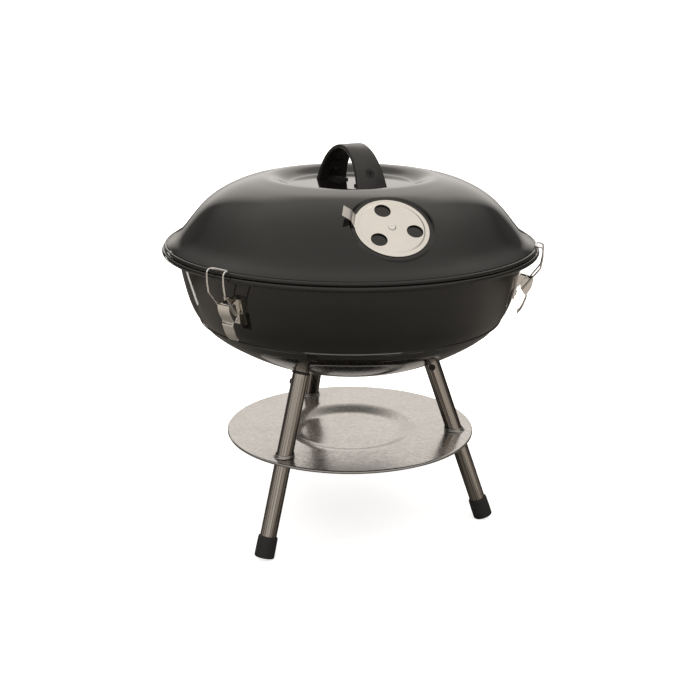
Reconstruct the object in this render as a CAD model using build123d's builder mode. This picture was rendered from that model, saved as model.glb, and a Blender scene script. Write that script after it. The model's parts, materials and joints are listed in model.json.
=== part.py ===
from build123d import *
import math
import os

os.makedirs("parts", exist_ok=True)

# Portable round charcoal grill. Millimetres, +Z up.
# Origin: ground level on the grill's vertical axis. -Y is the front, midway between the two front legs.
# Azimuths are degrees from -Y, growing towards +X.

# ---- driving dimensions -------------------------------------------------
sheet = 1.2                      # enamelled steel of lid and bowl
leg_azimuths = (-60.0, 60.0, 180.0)
latch_azimuths = (-63.0, 57.0, 177.0)

# rim
lid_bead_r, lid_bead_z, lid_bead_w = 179.7, 288.13, 2.1
bowl_bead_r, bowl_bead_z, bowl_bead_w = 181.6, 284.0, 2.4

# lid
lid_floor_z = 345.8              # recessed flat centre that carries the handle
lid_floor_r = 57.0
lid_lip = [(62.0, 346.25), (67.0, 348.4), (72.0, 351.0), (77.5, 352.75), (83.0, 353.1)]
lid_dome = [(92.0, 351.7), (104.0, 348.7), (117.4, 343.5), (129.2, 337.3), (139.4, 330.1),
            (148.2, 321.5), (156.2, 312.0), (162.0, 304.7), (165.4, 300.8), (170.4, 296.6), (176.0, 293.0)]
lid_edge = (179.9, 290.18)

# lid vent
vent_azimuth = -8.4
vent_r, vent_z = 133.98, 326.48  # seat centre
vent_elevation = 53.7            # of the seat normal
seat_r = 38.7
vent_pitch_r = 20.3
vent_hole_r = 7.4
vent_first = 102.0               # angle of the first damper hole in the seat plane
tab_angle = 161.5
damper_r = 33.6
damper_t = 0.8
damper_step = 0.8
rivet_r = 2.0
rivet_clearance = 0.06

# handle
handle_azimuth = 7.56
handle_top_z = 383.6
handle_arch = [(10.5, 381.7), (20.5, 376.2), (29.0, 367.6), (35.2, 357.2)]
handle_foot = 39.6
handle_t = 4.6
handle_w_top, handle_w_foot = 24.5, 33.0
handle_screw_at = (34.2, 359.3)
handle_screw_tilt = 25.0

# bowl
bowl_bottom_z = 166.0
bowl_flat_r = 44.0
bowl_dish = [(56.0, 167.6), (68.0, 170.0), (80.0, 173.6), (92.0, 178.2), (104.0, 183.9),
             (116.0, 190.4), (127.0, 197.0), (136.0, 203.2), (140.3, 207.0)]
bowl_step = (141.5, 207.6)
bowl_wall = [(147.6, 214.6), (152.6, 221.6), (157.0, 230.2), (160.4, 240.0), (163.2, 250.6), (165.4, 260.6), (166.8, 270.0)]
bowl_wall_top = (167.2, 279.2)

# bottom vent
bottom_pitch_r = 20.0
bottom_hole_r = 7.5
bottom_damper_r = 32.0

# legs
leg_r0, leg_slope = 140.2, 0.348         # axis radius at ground, and how it closes in per mm of height
leg_od, leg_wall = 16.0, 0.8
leg_top_z = 171.9
cap_r, cap_len, cap_floor = 9.7, 21.0, 3.0
cap_end_z = 1.7
socket_collar_r, socket_collar_t = 9.0, 1.3
socket_stub_r, socket_stub_wall, socket_stub_len = 7.1, 1.2, 24.0
leg_screw_z = 163.5

# ash plate
plate_r, plate_z, plate_t = 125.4, 95.5, 0.8
plate_hem = 1.35
plate_dish_r, plate_floor_r, plate_dish_depth = 73.0, 48.0, 6.0
plate_hole_r = 8.3
plate_collar_r, plate_collar_h = 9.4, 3.0

# grates
grate_z = 270.0
grate_ring_r, grate_ring_w = 159.0, 2.6
grate_rod_w, grate_pitch = 1.75, 14.5
coal_z = 207.15
coal_ring_r, coal_ring_w = 134.7, 2.5
coal_rod_w, coal_pitch = 2.5, 19.0

# latches, in the upright plane of each latch: (distance from the axis, height)
pivot = (172.5, 257.5)
bail_pivot = (169.2, 249.2)
pin_r, pin_clearance = 1.5, 0.05
wire_r = 0.9
lever_in, lever_out = 5.8, 7.0           # lever side plates, from the latch's middle
ear_in, ear_out = 4.4, 5.6
base_half_w = 10.5
base_t = 1.0


# ---- helpers ------------------------------------------------------------
def upright(azimuth):
    """Upright plane through the grill's axis: local x is the distance outwards, local y the height."""
    a = math.radians(azimuth)
    return Plane(origin=(0, 0, 0), x_dir=(math.sin(a), -math.cos(a), 0), z_dir=(-math.cos(a), -math.sin(a), 0))


def at(azimuth, r, z, t=0.0):
    """Point at distance r from the axis, t sideways (towards growing azimuth)."""
    a = math.radians(azimuth)
    return Vector(r * math.sin(a) + t * math.cos(a), -r * math.cos(a) + t * math.sin(a), z)


def inset(points, d):
    """The same curve moved by d to its right-hand side."""
    moved = []
    for i, (x, y) in enumerate(points):
        x0, y0 = points[max(i - 1, 0)]
        x1, y1 = points[min(i + 1, len(points) - 1)]
        n = math.hypot(x1 - x0, y1 - y0)
        moved.append((x + d * (y1 - y0) / n, y - d * (x1 - x0) / n))
    return moved


def smooth_arcs(points, first, last):
    """Pairs of tangent arcs through the points, drawn into the current BuildLine; first and last are the end directions."""
    pts = [Vector(*p) for p in points]
    dirs = [Vector(*first).normalized()]
    for a, b, c in zip(pts[:-2], pts[1:-1], pts[2:]):
        u, w = b - a, c - b
        dirs.append((u.normalized() * w.length + w.normalized() * u.length).normalized())
    dirs.append(Vector(*last).normalized())
    for p, q, t, e in zip(pts[:-1], pts[1:], dirs[:-1], dirs[1:]):
        v, both = q - p, t + e
        k = 2 * (1 - t.dot(e))
        if k < 1e-9:
            d = v.dot(v) / (4 * v.dot(t))
        else:
            vt = v.dot(both)
            d = (-vt + math.sqrt(vt * vt + k * v.dot(v))) / k
        a, b = p + t * d, q - e * d
        m = (a + b) * 0.5
        TangentArc(p, m, tangent=t)
        TangentArc(m, q, tangent=(b - a).normalized())


def bent_wire(points, radii):
    """Straight runs joined by round bends, drawn into the current BuildLine."""
    pts = [Vector(*p) for p in points]
    start = pts[0]
    for i in range(1, len(pts) - 1):
        b = pts[i]
        u = (pts[i - 1] - b).normalized()
        v = (pts[i + 1] - b).normalized()
        half = math.acos(max(-1.0, min(1.0, u.dot(v)))) / 2
        back = radii[i - 1] / math.tan(half)
        p, q = b + u * back, b + v * back
        mid_dir = (u + v).normalized()
        mid = b + mid_dir * (radii[i - 1] / math.sin(half) - radii[i - 1])
        Line(start, p)
        ThreePointArc(p, mid, q)
        start = q
    Line(start, pts[-1])


def dome_mid(r, h):
    """Middle point of the arc from (r, 0) to (0, h) of a round rivet head."""
    big = (r * r + h * h) / (2 * h)
    half = math.asin(r / big) / 2
    return big * math.sin(half), h - big + big * math.cos(half)


def leg_axis(azimuth):
    """Plane square to a leg, its origin where the leg's axis meets the ground, its z up the leg."""
    a = math.radians(azimuth)
    d = Vector(-leg_slope * math.sin(a), leg_slope * math.cos(a), 1.0).normalized()
    return Plane(origin=at(azimuth, leg_r0, 0), x_dir=(math.cos(a), math.sin(a), 0), z_dir=d)


leg_len = math.sqrt(1 + leg_slope**2)    # length along a leg per mm of height

va, ve = math.radians(vent_azimuth), math.radians(vent_elevation)
vent_normal = Vector(math.sin(va) * math.cos(ve), -math.cos(va) * math.cos(ve), math.sin(ve))
vent_right = Vector(math.cos(va), math.sin(va), 0)
seat = Plane(origin=at(vent_azimuth, vent_r, vent_z), x_dir=vent_right, z_dir=vent_normal)

# ---- lid ----------------------------------------------------------------
lid_outer = [(lid_floor_r, lid_floor_z)] + lid_lip + lid_dome + [lid_edge]
lid_inner = inset(lid_outer, sheet)
lid_inner[0] = (lid_floor_r, lid_floor_z - sheet)
lid_inner[-1] = (178.65, 289.4)

with BuildPart() as lid_hollow:
    with BuildSketch(Plane.XZ) as s:
        with BuildLine():
            Line((0, 270), (0, lid_floor_z - sheet))
            Line((0, lid_floor_z - sheet), lid_inner[0])
            smooth_arcs(lid_inner, (1, 0), (1, -0.85))
            Line(lid_inner[-1], (lid_inner[-1][0], 270))
            Line((lid_inner[-1][0], 270), (0, 270))
        make_face()
    revolve(axis=Axis.Z)
    with BuildSketch(seat.offset(-sheet)):
        Circle(seat_r - sheet)
    extrude(amount=-22)
    with BuildSketch(seat.offset(-sheet)):
        Circle(seat_r + 0.001)
    extrude(amount=30, mode=Mode.SUBTRACT)

with BuildPart() as lid:
    with BuildSketch(Plane.XZ) as s:
        with BuildLine():
            Line((0, lid_bead_z), (0, lid_floor_z))
            Line((0, lid_floor_z), lid_outer[0])
            smooth_arcs(lid_outer, (1, 0), (1, -0.85))
            Line(lid_outer[-1], (lid_edge[0], lid_bead_z))
            Line((lid_edge[0], lid_bead_z), (0, lid_bead_z))
        make_face()
    revolve(axis=Axis.Z)
    # round flat seat for the vent damper
    with BuildSketch(seat):
        Circle(seat_r)
    extrude(amount=-21)
    with BuildSketch(seat):
        Circle(seat_r - sheet)
    extrude(amount=30, mode=Mode.SUBTRACT)
    add(lid_hollow.part, mode=Mode.SUBTRACT)
    # rolled edge
    with BuildSketch(Plane.XZ):
        with Locations((lid_bead_r, lid_bead_z)):
            Circle(lid_bead_w)
    revolve(axis=Axis.Z)
    # vent holes, a third of a turn apart and half a step away from the damper's
    with BuildSketch(seat.offset(5)):
        with PolarLocations(vent_pitch_r, 3, start_angle=vent_first + 60):
            Circle(vent_hole_r - 0.5)
        Circle(rivet_r + 0.03)
    extrude(amount=-12, mode=Mode.SUBTRACT)
    # rivet holes of the two handle brackets
    with BuildSketch(Plane.XY.offset(lid_floor_z + 1)):
        for side in (-1, 1):
            with Locations((side * 24.5 * math.sin(math.radians(handle_azimuth)), -side * 24.5 * math.cos(math.radians(handle_azimuth)))):
                Circle(2.03)
    extrude(amount=-4, mode=Mode.SUBTRACT)
print("lid", lid.part.volume, len(lid.part.solids()))
lid.part.label = "lid"
export_step(lid.part, "parts/lid.step")

# ---- lid vent damper ----------------------------------------------------
gap = 0.1
with BuildPart() as lid_damper:
    # pressed disc: flat rim, raised middle
    with BuildSketch(Plane(origin=seat.origin, x_dir=vent_right, z_dir=vent_right.cross(vent_normal))) as s:
        with BuildLine():
            h0 = gap
            h1 = gap + damper_t
            Polyline((rivet_r + rivet_clearance, h0 + damper_step), (28.2, h0 + damper_step), (29.4, h0), (damper_r, h0),
                     (damper_r, h1), (29.7, h1), (28.5, h1 + damper_step), (rivet_r + rivet_clearance, h1 + damper_step),
                     close=True)
        make_face()
    revolve(axis=Axis(seat.origin, vent_normal))
    with BuildSketch(seat.offset(6)):
        with PolarLocations(vent_pitch_r, 3, start_angle=vent_first):
            Circle(vent_hole_r)
    extrude(amount=-8, mode=Mode.SUBTRACT)
    # finger tab, bent up off the rim
    ta = math.radians(tab_angle)
    tab_out = vent_right * math.cos(ta) + vent_normal.cross(vent_right) * math.sin(ta)
    with BuildSketch(Plane(origin=seat.origin, x_dir=tab_out, z_dir=tab_out.cross(vent_normal))) as s:
        with BuildLine():
            Polyline((31.0, gap), (34.2, gap), (37.2, gap + 5.0), (45.6, gap + 9.4), (45.2, gap + 10.1), (36.6, gap + 5.6),
                     (33.7, gap + damper_t), (31.0, gap + damper_t), close=True)
        make_face()
    extrude(amount=6.2, both=True)
lid_damper.part.label = "lid_damper"
export_step(lid_damper.part, "parts/lid_damper.step")

with BuildPart() as lid_damper_rivet:
    top = gap + damper_t + damper_step + 0.05
    with BuildSketch(Plane(origin=seat.origin, x_dir=vent_right, z_dir=vent_right.cross(vent_normal))):
        with BuildLine():
            Polyline((0, -sheet - 1.2), (2.9, -sheet - 1.2), (3.1, -sheet - 0.02), (rivet_r, -sheet - 0.02), (rivet_r, top), (3.6, top))
            mx, mz = dome_mid(3.6, 1.35)
            ThreePointArc((3.6, top), (mx, top + mz), (0, top + 1.35))
            Line((0, top + 1.35), (0, -sheet - 1.2))
        make_face()
    revolve(axis=Axis(seat.origin, vent_normal))
lid_damper_rivet.part.label = "lid_damper_rivet"
export_step(lid_damper_rivet.part, "parts/lid_damper_rivet.step")

# ---- lid handle ---------------------------------------------------------
arch = upright(handle_azimuth)
half_arch = [(0.0, handle_top_z)] + handle_arch + [(handle_foot, lid_floor_z)]
outer_arch = [(-x, z) for x, z in half_arch[::-1]] + half_arch[1:]
inner_arch = inset(outer_arch, handle_t)
inner_arch[0] = (-(handle_foot - handle_t - 0.2), lid_floor_z)
inner_arch[-1] = (handle_foot - handle_t - 0.2, lid_floor_z)
st = math.radians(handle_screw_tilt)
with BuildPart() as lid_handle:
    with BuildSketch(arch) as s:
        with BuildLine():
            Spline(*outer_arch, tangents=[(0.3, 1), (0.3, -1)])
            Line(outer_arch[-1], inner_arch[-1])
            Spline(*inner_arch[::-1], tangents=[(-0.3, 1), (-0.3, -1)])
            Line(inner_arch[0], outer_arch[0])
        make_face()
    extrude(amount=handle_w_foot / 2 + 1, both=True)
    # the strap narrows towards its top
    face_on = Plane(origin=(0, 0, 0), x_dir=arch.z_dir, z_dir=arch.x_dir * -1)
    if face_on.y_dir.Z < 0:
        face_on = Plane(origin=(0, 0, 0), x_dir=arch.z_dir * -1, z_dir=arch.x_dir * -1)
    with BuildSketch(face_on):
        with BuildLine():
            w0, w1 = handle_w_foot / 2, handle_w_top / 2
            z0, z1 = lid_floor_z, handle_top_z
            Polyline((w0, z0), (w1, z1 + 1), (-w1, z1 + 1), (-w0, z0))
            Line((-w0, z0), (w0, z0))
        make_face()
    extrude(amount=60, both=True, mode=Mode.INTERSECT)
    long_edges = [e for e in lid_handle.edges() if e.length > 60]
    fillet(long_edges, 1.4)
    for side in (-1, 1):
        axis_dir = arch.x_dir * side * math.cos(st) + Vector(0, 0, math.sin(st))
        hole = arch.from_local_coords((side * handle_screw_at[0], handle_screw_at[1], 0))
        with BuildSketch(Plane(origin=hole + axis_dir * 8, x_dir=arch.z_dir, z_dir=axis_dir)):
            Circle(4.5)
        extrude(amount=-9.9, mode=Mode.SUBTRACT)
        with BuildSketch(Plane(origin=hole + axis_dir * 8, x_dir=arch.z_dir, z_dir=axis_dir)):
            Circle(2.55)
        extrude(amount=-16, mode=Mode.SUBTRACT)
lid_handle.part.label = "lid_handle"
export_step(lid_handle.part, "parts/lid_handle.step")

for index, side in ((1, 1), (2, -1)):
    with BuildPart() as bracket:
        with BuildSketch(arch) as s:
            with BuildLine():
                Polyline((side * 17.5, lid_floor_z), (side * 37.5, lid_floor_z), (side * 31.5, 364.0), (side * 24.6, 364.0),
                         (side * 32.4, lid_floor_z + 2.0), (side * 17.5, lid_floor_z + 2.0), close=True)
            make_face()
        extrude(amount=7.5, both=True)
        # follows the strap's inner face
        with BuildSketch(arch) as s:
            with BuildLine():
                Spline(*inner_arch[::-1], tangents=[(-0.3, 1), (-0.3, -1)])
                Polyline(inner_arch[0], (-60, lid_floor_z), (-60, 400), (60, 400), (60, lid_floor_z), inner_arch[-1])
            make_face()
        extrude(amount=20, both=True, mode=Mode.SUBTRACT)
        with BuildSketch(arch) as s:
            with BuildLine():
                thin = inset(inner_arch, 1.8)
                thin = [(x, max(z, lid_floor_z + 1.8)) for x, z in thin]
                thin = [(-thin[-1][0], lid_floor_z + 1.8)] + thin[1:-1] + [(thin[-1][0], lid_floor_z + 1.8)]
                Spline(*thin, tangents=[(0.3, 1), (0.3, -1)])
                Line(thin[-1], thin[0])
            make_face()
        extrude(amount=20, both=True, mode=Mode.SUBTRACT)
        axis_dir = arch.x_dir * side * math.cos(st) + Vector(0, 0, math.sin(st))
        hole = arch.from_local_coords((side * handle_screw_at[0], handle_screw_at[1], 0))
        with BuildSketch(Plane(origin=hole, x_dir=arch.z_dir, z_dir=axis_dir)):
            Circle(2.55)
        extrude(amount=20, both=True, mode=Mode.SUBTRACT)
        with BuildSketch(Plane.XY.offset(lid_floor_z + 5)):
            with Locations((side * 24.5 * math.sin(math.radians(handle_azimuth)), -side * 24.5 * math.cos(math.radians(handle_azimuth)))):
                Circle(2.03)
        extrude(amount=-6, mode=Mode.SUBTRACT)
    bracket.part.label = f"handle_bracket_{index}"
    export_step(bracket.part, f"parts/handle_bracket_{index}.step")
    print("bracket", index, bracket.part.volume, len(bracket.part.solids()), bracket.part.bounding_box().size)

with BuildPart() as handle_screws:
    for side in (-1, 1):
        axis_dir = arch.x_dir * side * math.cos(st) + Vector(0, 0, math.sin(st))
        hole = arch.from_local_coords((side * handle_screw_at[0], handle_screw_at[1], 0))
        with BuildSketch(Plane(origin=hole + axis_dir * -1.88, x_dir=arch.z_dir, z_dir=axis_dir)):
            Circle(4.2)
        extrude(amount=1.9)
        with BuildSketch(Plane(origin=hole + axis_dir * -1.88, x_dir=arch.z_dir, z_dir=axis_dir)):
            Circle(2.5)
        extrude(amount=-8.4)
        with BuildSketch(Plane(origin=hole + axis_dir * 0.02, x_dir=arch.z_dir, z_dir=axis_dir)):
            SlotOverall(4.6, 1.1)
            SlotOverall(4.6, 1.1, rotation=90)
        extrude(amount=-0.9, mode=Mode.SUBTRACT)
handle_screws.part.label = "handle_screws"
export_step(handle_screws.part, "parts/handle_screws.step")

with BuildPart() as bracket_rivets:
    for side in (-1, 1):
        x = side * 24.5 * math.sin(math.radians(handle_azimuth))
        y = -side * 24.5 * math.cos(math.radians(handle_azimuth))
        with BuildSketch(Plane.XY.offset(lid_floor_z - sheet - 1.0)):
            with Locations((x, y)):
                Circle(3.4)
        extrude(amount=0.98)
        with BuildSketch(Plane.XY.offset(lid_floor_z - sheet - 1.0)):
            with Locations((x, y)):
                Circle(2.0)
        extrude(amount=sheet + 3.2)
        with BuildSketch(Plane.XY.offset(lid_floor_z + 1.82)):
            with Locations((x, y)):
                Circle(3.6)
        extrude(amount=1.2)
    fillet(bracket_rivets.edges().group_by(Axis.Z)[-1], 0.6)
bracket_rivets.part.label = "bracket_rivets"
export_step(bracket_rivets.part, "parts/bracket_rivets.step")

# ---- bowl ---------------------------------------------------------------
dish_out = [(bowl_flat_r, bowl_bottom_z)] + bowl_dish
wall_out = [bowl_step] + bowl_wall + [bowl_wall_top]
dish_in = inset(dish_out, -sheet)
dish_in[0] = (bowl_flat_r, bowl_bottom_z + sheet)
wall_in = inset(wall_out, -sheet)

with BuildPart() as bowl_envelope:
    with BuildSketch(Plane.XZ):
        with BuildLine():
            Line((0, bowl_bottom_z), dish_out[0])
            Spline(*dish_out, tangents=[(1, 0), (1, 0.86)])
            Line(dish_out[-1], wall_out[0])
            Spline(*wall_out)
            Polyline(wall_out[-1], (0, bowl_wall_top[1]), (0, bowl_bottom_z))
        make_face()
    revolve(axis=Axis.Z)

with BuildPart() as bowl_hollow:
    with BuildSketch(Plane.XZ):
        with BuildLine():
            Line((0, bowl_bottom_z + sheet), dish_in[0])
            Spline(*dish_in, tangents=[(1, 0), (1, 0.86)])
            Line(dish_in[-1], wall_in[0])
            Spline(*wall_in)
            Polyline(wall_in[-1], (wall_in[-1][0], 300), (0, 300), (0, bowl_bottom_z + sheet))
        make_face()
    revolve(axis=Axis.Z)

with BuildPart() as bowl:
    with BuildSketch(Plane.XZ):
        with BuildLine():
            Line((0, bowl_bottom_z), dish_out[0])
            Spline(*dish_out, tangents=[(1, 0), (1, 0.86)])
            Line(dish_out[-1], wall_out[0])
            Spline(*wall_out)
            # turned out into the flange
            fx, fz = bowl_wall_top
            ThreePointArc((fx, fz), (fx + 1.25, fz + 2.45), (fx + 3.8, fz + 3.4))
            Polyline((fx + 3.8, fz + 3.4), (bowl_bead_r, bowl_bead_z - 0.6), (bowl_bead_r, bowl_bead_z + 0.6),
                     (fx + 3.2, fz + 3.4 + sheet), (fx - 1.5, fz + 3.4 + sheet), (0, fz + 3.4 + sheet), (0, bowl_bottom_z))
        make_face()
    revolve(axis=Axis.Z)
    add(bowl_hollow.part, mode=Mode.SUBTRACT)
    with BuildSketch(Plane.XZ):
        with Locations((bowl_bead_r, bowl_bead_z)):
            Circle(bowl_bead_w)
    revolve(axis=Axis.Z)
    # air holes in the bottom
    with BuildSketch(Plane.XY.offset(bowl_bottom_z - 1)):
        with PolarLocations(bottom_pitch_r, 3, start_angle=30):
            Circle(bottom_hole_r - 0.5)
        Circle(rivet_r + 0.53)
    extrude(amount=4, mode=Mode.SUBTRACT)
    # two rivet holes behind each latch
    for az in latch_azimuths:
        for z, r in ((243.5, 161.4), (254.0, 164.0)):
            p = at(az, r, z)
            d = at(az, math.cos(math.radians(12.8)), -math.sin(math.radians(12.8)))
            with BuildSketch(Plane(origin=p + d * 6, x_dir=(0, 0, 1), z_dir=d)):
                Circle(1.63)
            extrude(amount=-14, mode=Mode.SUBTRACT)
print("bowl", bowl.part.volume, len(bowl.part.solids()))
bowl.part.label = "bowl"
export_step(bowl.part, "parts/bowl.step")

with BuildPart() as bowl_damper:
    with BuildSketch(Plane.XZ):
        with BuildLine():
            b = bowl_bottom_z - gap
            Polyline((rivet_r + 0.5 + rivet_clearance, b - 0.8), (27.0, b - 0.8), (28.0, b), (bottom_damper_r, b), (bottom_damper_r, b - 0.8),
                     (28.4, b - 0.8), (27.4, b - 1.6), (rivet_r + 0.5 + rivet_clearance, b - 1.6), close=True)
        make_face()
    revolve(axis=Axis.Z)
    with BuildSketch(Plane.XY.offset(bowl_bottom_z - 4)):
        with PolarLocations(bottom_pitch_r, 3, start_angle=90):
            Circle(bottom_hole_r)
    extrude(amount=6, mode=Mode.SUBTRACT)
    with BuildSketch(Plane.XZ):
        with BuildLine():
            Polyline((30.0, b), (34.0, b), (45.0, b - 7.6), (44.5, b - 8.25), (33.7, b - 0.8), (30.0, b - 0.8), close=True)
        make_face()
    extrude(amount=6.2, both=True)
bowl_damper.part.label = "bowl_damper"
export_step(bowl_damper.part, "parts/bowl_damper.step")

with BuildPart() as bowl_damper_rivet:
    with BuildSketch(Plane.XZ):
        with BuildLine():
            lo = bowl_bottom_z - gap - 1.6 - 0.05
            hi = bowl_bottom_z + sheet + 0.02
            Polyline((0, hi + 1.1), (3.6, hi + 1.1), (3.8, hi), (rivet_r + 0.5, hi), (rivet_r + 0.5, lo), (4.2, lo))
            mx, mz = dome_mid(4.2, 1.5)
            ThreePointArc((4.2, lo), (mx, lo - mz), (0, lo - 1.5))
            Line((0, lo - 1.5), (0, hi + 1.1))
        make_face()
    revolve(axis=Axis.Z)
bowl_damper_rivet.part.label = "bowl_damper_rivet"
export_step(bowl_damper_rivet.part, "parts/bowl_damper_rivet.step")

# ---- legs, sockets, caps, screws ---------------------------------------
for index, az in enumerate(leg_azimuths, 1):
    foot = leg_axis(az)
    top = leg_top_z * leg_len
    side_dir = foot.x_dir * -1

    with BuildPart() as socket:
        with BuildSketch(foot.offset(top + 0.02)):
            Circle(socket_collar_r)
        extrude(amount=6)
        with BuildSketch(foot.offset(top + 0.02)):
            Circle(socket_stub_r)
            Circle(socket_stub_r - socket_stub_wall, mode=Mode.SUBTRACT)
        extrude(amount=-socket_stub_len)
        add(bowl_envelope.part, mode=Mode.SUBTRACT)
        with BuildSketch(Plane(origin=foot.from_local_coords((0, 0, leg_screw_z * leg_len)), x_dir=foot.z_dir, z_dir=side_dir)):
            Circle(1.98)
        extrude(amount=9, mode=Mode.SUBTRACT)
    socket_solids = socket.part.solids().sort_by(SortBy.VOLUME)
    print("socket", index, [round(s.volume, 1) for s in socket_solids], socket.part.bounding_box().max.Z)
    socket.part.label = f"leg_socket_{index}"
    export_step(socket.part, f"parts/leg_socket_{index}.step")

    with BuildPart() as leg:
        low = cap_end_z * leg_len + cap_floor + 0.02
        with BuildSketch(foot.offset(low)):
            Circle(leg_od / 2)
            Circle(leg_od / 2 - leg_wall, mode=Mode.SUBTRACT)
        extrude(amount=top - low)
        with BuildSketch(Plane(origin=foot.from_local_coords((0, 0, leg_screw_z * leg_len)), x_dir=foot.z_dir, z_dir=side_dir)):
            Circle(2.03)
        extrude(amount=9, mode=Mode.SUBTRACT)
    leg.part.label = f"leg_{index}"
    export_step(leg.part, f"parts/leg_{index}.step")

    with BuildPart() as cap:
        with BuildSketch(foot.offset(cap_end_z * leg_len)):
            Circle(cap_r)
        extrude(amount=cap_len)
        fillet(cap.edges().filter_by(GeomType.CIRCLE), 1.2)
        with BuildSketch(foot.offset(cap_end_z * leg_len + cap_floor)):
            Circle(leg_od / 2 + 0.02)
        extrude(amount=cap_len, mode=Mode.SUBTRACT)
        # worn flat where it stands on the table
        with Locations((0, 0, -10)):
            Box(400, 400, 20, mode=Mode.SUBTRACT)
    cap.part.label = f"foot_cap_{index}"
    export_step(cap.part, f"parts/foot_cap_{index}.step")
    print("cap", index, cap.part.bounding_box().min.Z, len(cap.part.solids()))

with BuildPart() as leg_screws:
    for az in leg_azimuths:
        foot = leg_axis(az)
        side_dir = foot.x_dir * -1
        p = foot.from_local_coords((0, 0, leg_screw_z * leg_len))
        with BuildSketch(Plane(origin=p + side_dir * 5.2, x_dir=foot.z_dir, z_dir=side_dir)):
            Circle(1.95)
        extrude(amount=3.2)
        with BuildSketch(Plane(origin=p + side_dir * 8.02, x_dir=foot.z_dir, z_dir=side_dir)):
            Circle(3.3)
        extrude(amount=1.7, taper=14)
        with BuildSketch(Plane(origin=p + side_dir * 9.72, x_dir=foot.z_dir, z_dir=side_dir)):
            SlotOverall(3.6, 0.8)
            SlotOverall(3.6, 0.8, rotation=90)
        extrude(amount=-0.9, mode=Mode.SUBTRACT)
leg_screws.part.label = "leg_screws"
export_step(leg_screws.part, "parts/leg_screws.step")

# ---- ash plate ----------------------------------------------------------
with BuildPart() as plate_collars:
    for az in leg_azimuths:
        foot = leg_axis(az)
        with BuildSketch(foot.offset(plate_z * leg_len)):
            Circle(plate_collar_r)
        extrude(amount=12, both=True)
    with Locations((0, 0, plate_z - plate_t / 2 + plate_collar_h / 2 + 0.2)):
        Cylinder(150, plate_collar_h + plate_t / 2 + 0.2, mode=Mode.INTERSECT)

with BuildPart() as ash_plate:
    with BuildSketch(Plane.XZ):
        with BuildLine():
            lo = plate_z - plate_dish_depth
            t = plate_t
            pts = [(plate_floor_r, lo), (plate_floor_r + 5, lo + 0.55), (plate_dish_r - 12, plate_z - 2.3), (plate_dish_r - 5, plate_z - 0.55), (plate_dish_r, plate_z)]
            Line((0, lo), pts[0])
            Spline(*pts, tangents=[(1, 0), (1, 0)])
            Line(pts[-1], (plate_r - plate_hem, plate_z))
            Line((plate_r - plate_hem, plate_z), (plate_r - plate_hem, plate_z - t))
            Line((plate_r - plate_hem, plate_z - t), (pts[-1][0], plate_z - t))
            under = [(x, z - t) for x, z in pts]
            Spline(*under[::-1], tangents=[(-1, 0), (-1, 0)])
            Polyline(under[0], (0, lo - t), (0, lo))
        make_face()
    revolve(axis=Axis.Z)
    # hem rolled down round the edge
    with BuildSketch(Plane.XZ):
        with Locations((plate_r - plate_hem, plate_z - plate_hem)):
            Circle(plate_hem)
    revolve(axis=Axis.Z)
    add(plate_collars.part)
    for az in leg_azimuths:
        foot = leg_axis(az)
        with BuildSketch(foot.offset(plate_z * leg_len)):
            Circle(plate_hole_r)
        extrude(amount=14, both=True, mode=Mode.SUBTRACT)
print("ash plate", ash_plate.part.volume, len(ash_plate.part.solids()))
ash_plate.part.label = "ash_plate"
export_step(ash_plate.part, "parts/ash_plate.step")

# ---- grates -------------------------------------------------------------
with BuildPart() as cooking_grate:
    with BuildSketch(Plane.XZ):
        with Locations((grate_ring_r, grate_z)):
            Circle(grate_ring_w)
    revolve(axis=Axis.Z)
    n = int((grate_ring_r - 4) // grate_pitch)
    for i in range(-n, n + 1):
        x = i * grate_pitch
        half = math.sqrt((grate_ring_r - 0.2) ** 2 - x**2)
        with BuildSketch(Plane(origin=(x, -half, grate_z + 1.6), x_dir=(1, 0, 0), z_dir=(0, 1, 0))):
            Circle(grate_rod_w)
        extrude(amount=2 * half)
    # cross rods under the bars
    for y in (-50.0, 50.0):
        half = math.sqrt((grate_ring_r - 0.2) ** 2 - y**2)
        with BuildSketch(Plane(origin=(-half, y, grate_z - 0.5), x_dir=(0, 1, 0), z_dir=(1, 0, 0))):
            Circle(2.0)
        extrude(amount=2 * half)
print("cooking grate", cooking_grate.part.volume, len(cooking_grate.part.solids()))
cooking_grate.part.label = "cooking_grate"
export_step(cooking_grate.part, "parts/cooking_grate.step")

with BuildPart() as charcoal_grate:
    with BuildSketch(Plane.XZ):
        with Locations((coal_ring_r, coal_z)):
            Circle(coal_ring_w)
    revolve(axis=Axis.Z)
    n = int((coal_ring_r - 6) // coal_pitch)
    for i in range(-n, n + 1):
        x = i * coal_pitch
        half = math.sqrt((coal_ring_r - 0.2) ** 2 - x**2)
        with BuildSketch(Plane(origin=(x, -half, coal_z + 0.6), x_dir=(1, 0, 0), z_dir=(0, 1, 0))):
            Circle(coal_rod_w)
        extrude(amount=2 * half)
    with BuildSketch(Plane(origin=(-coal_ring_r + 3.2, 0, coal_z - 2.2), x_dir=(0, 1, 0), z_dir=(1, 0, 0))):
        Circle(2.2)
    extrude(amount=2 * coal_ring_r - 6.4)
print("charcoal grate", charcoal_grate.part.volume, len(charcoal_grate.part.solids()))
charcoal_grate.part.label = "charcoal_grate"
export_step(charcoal_grate.part, "parts/charcoal_grate.step")

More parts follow.
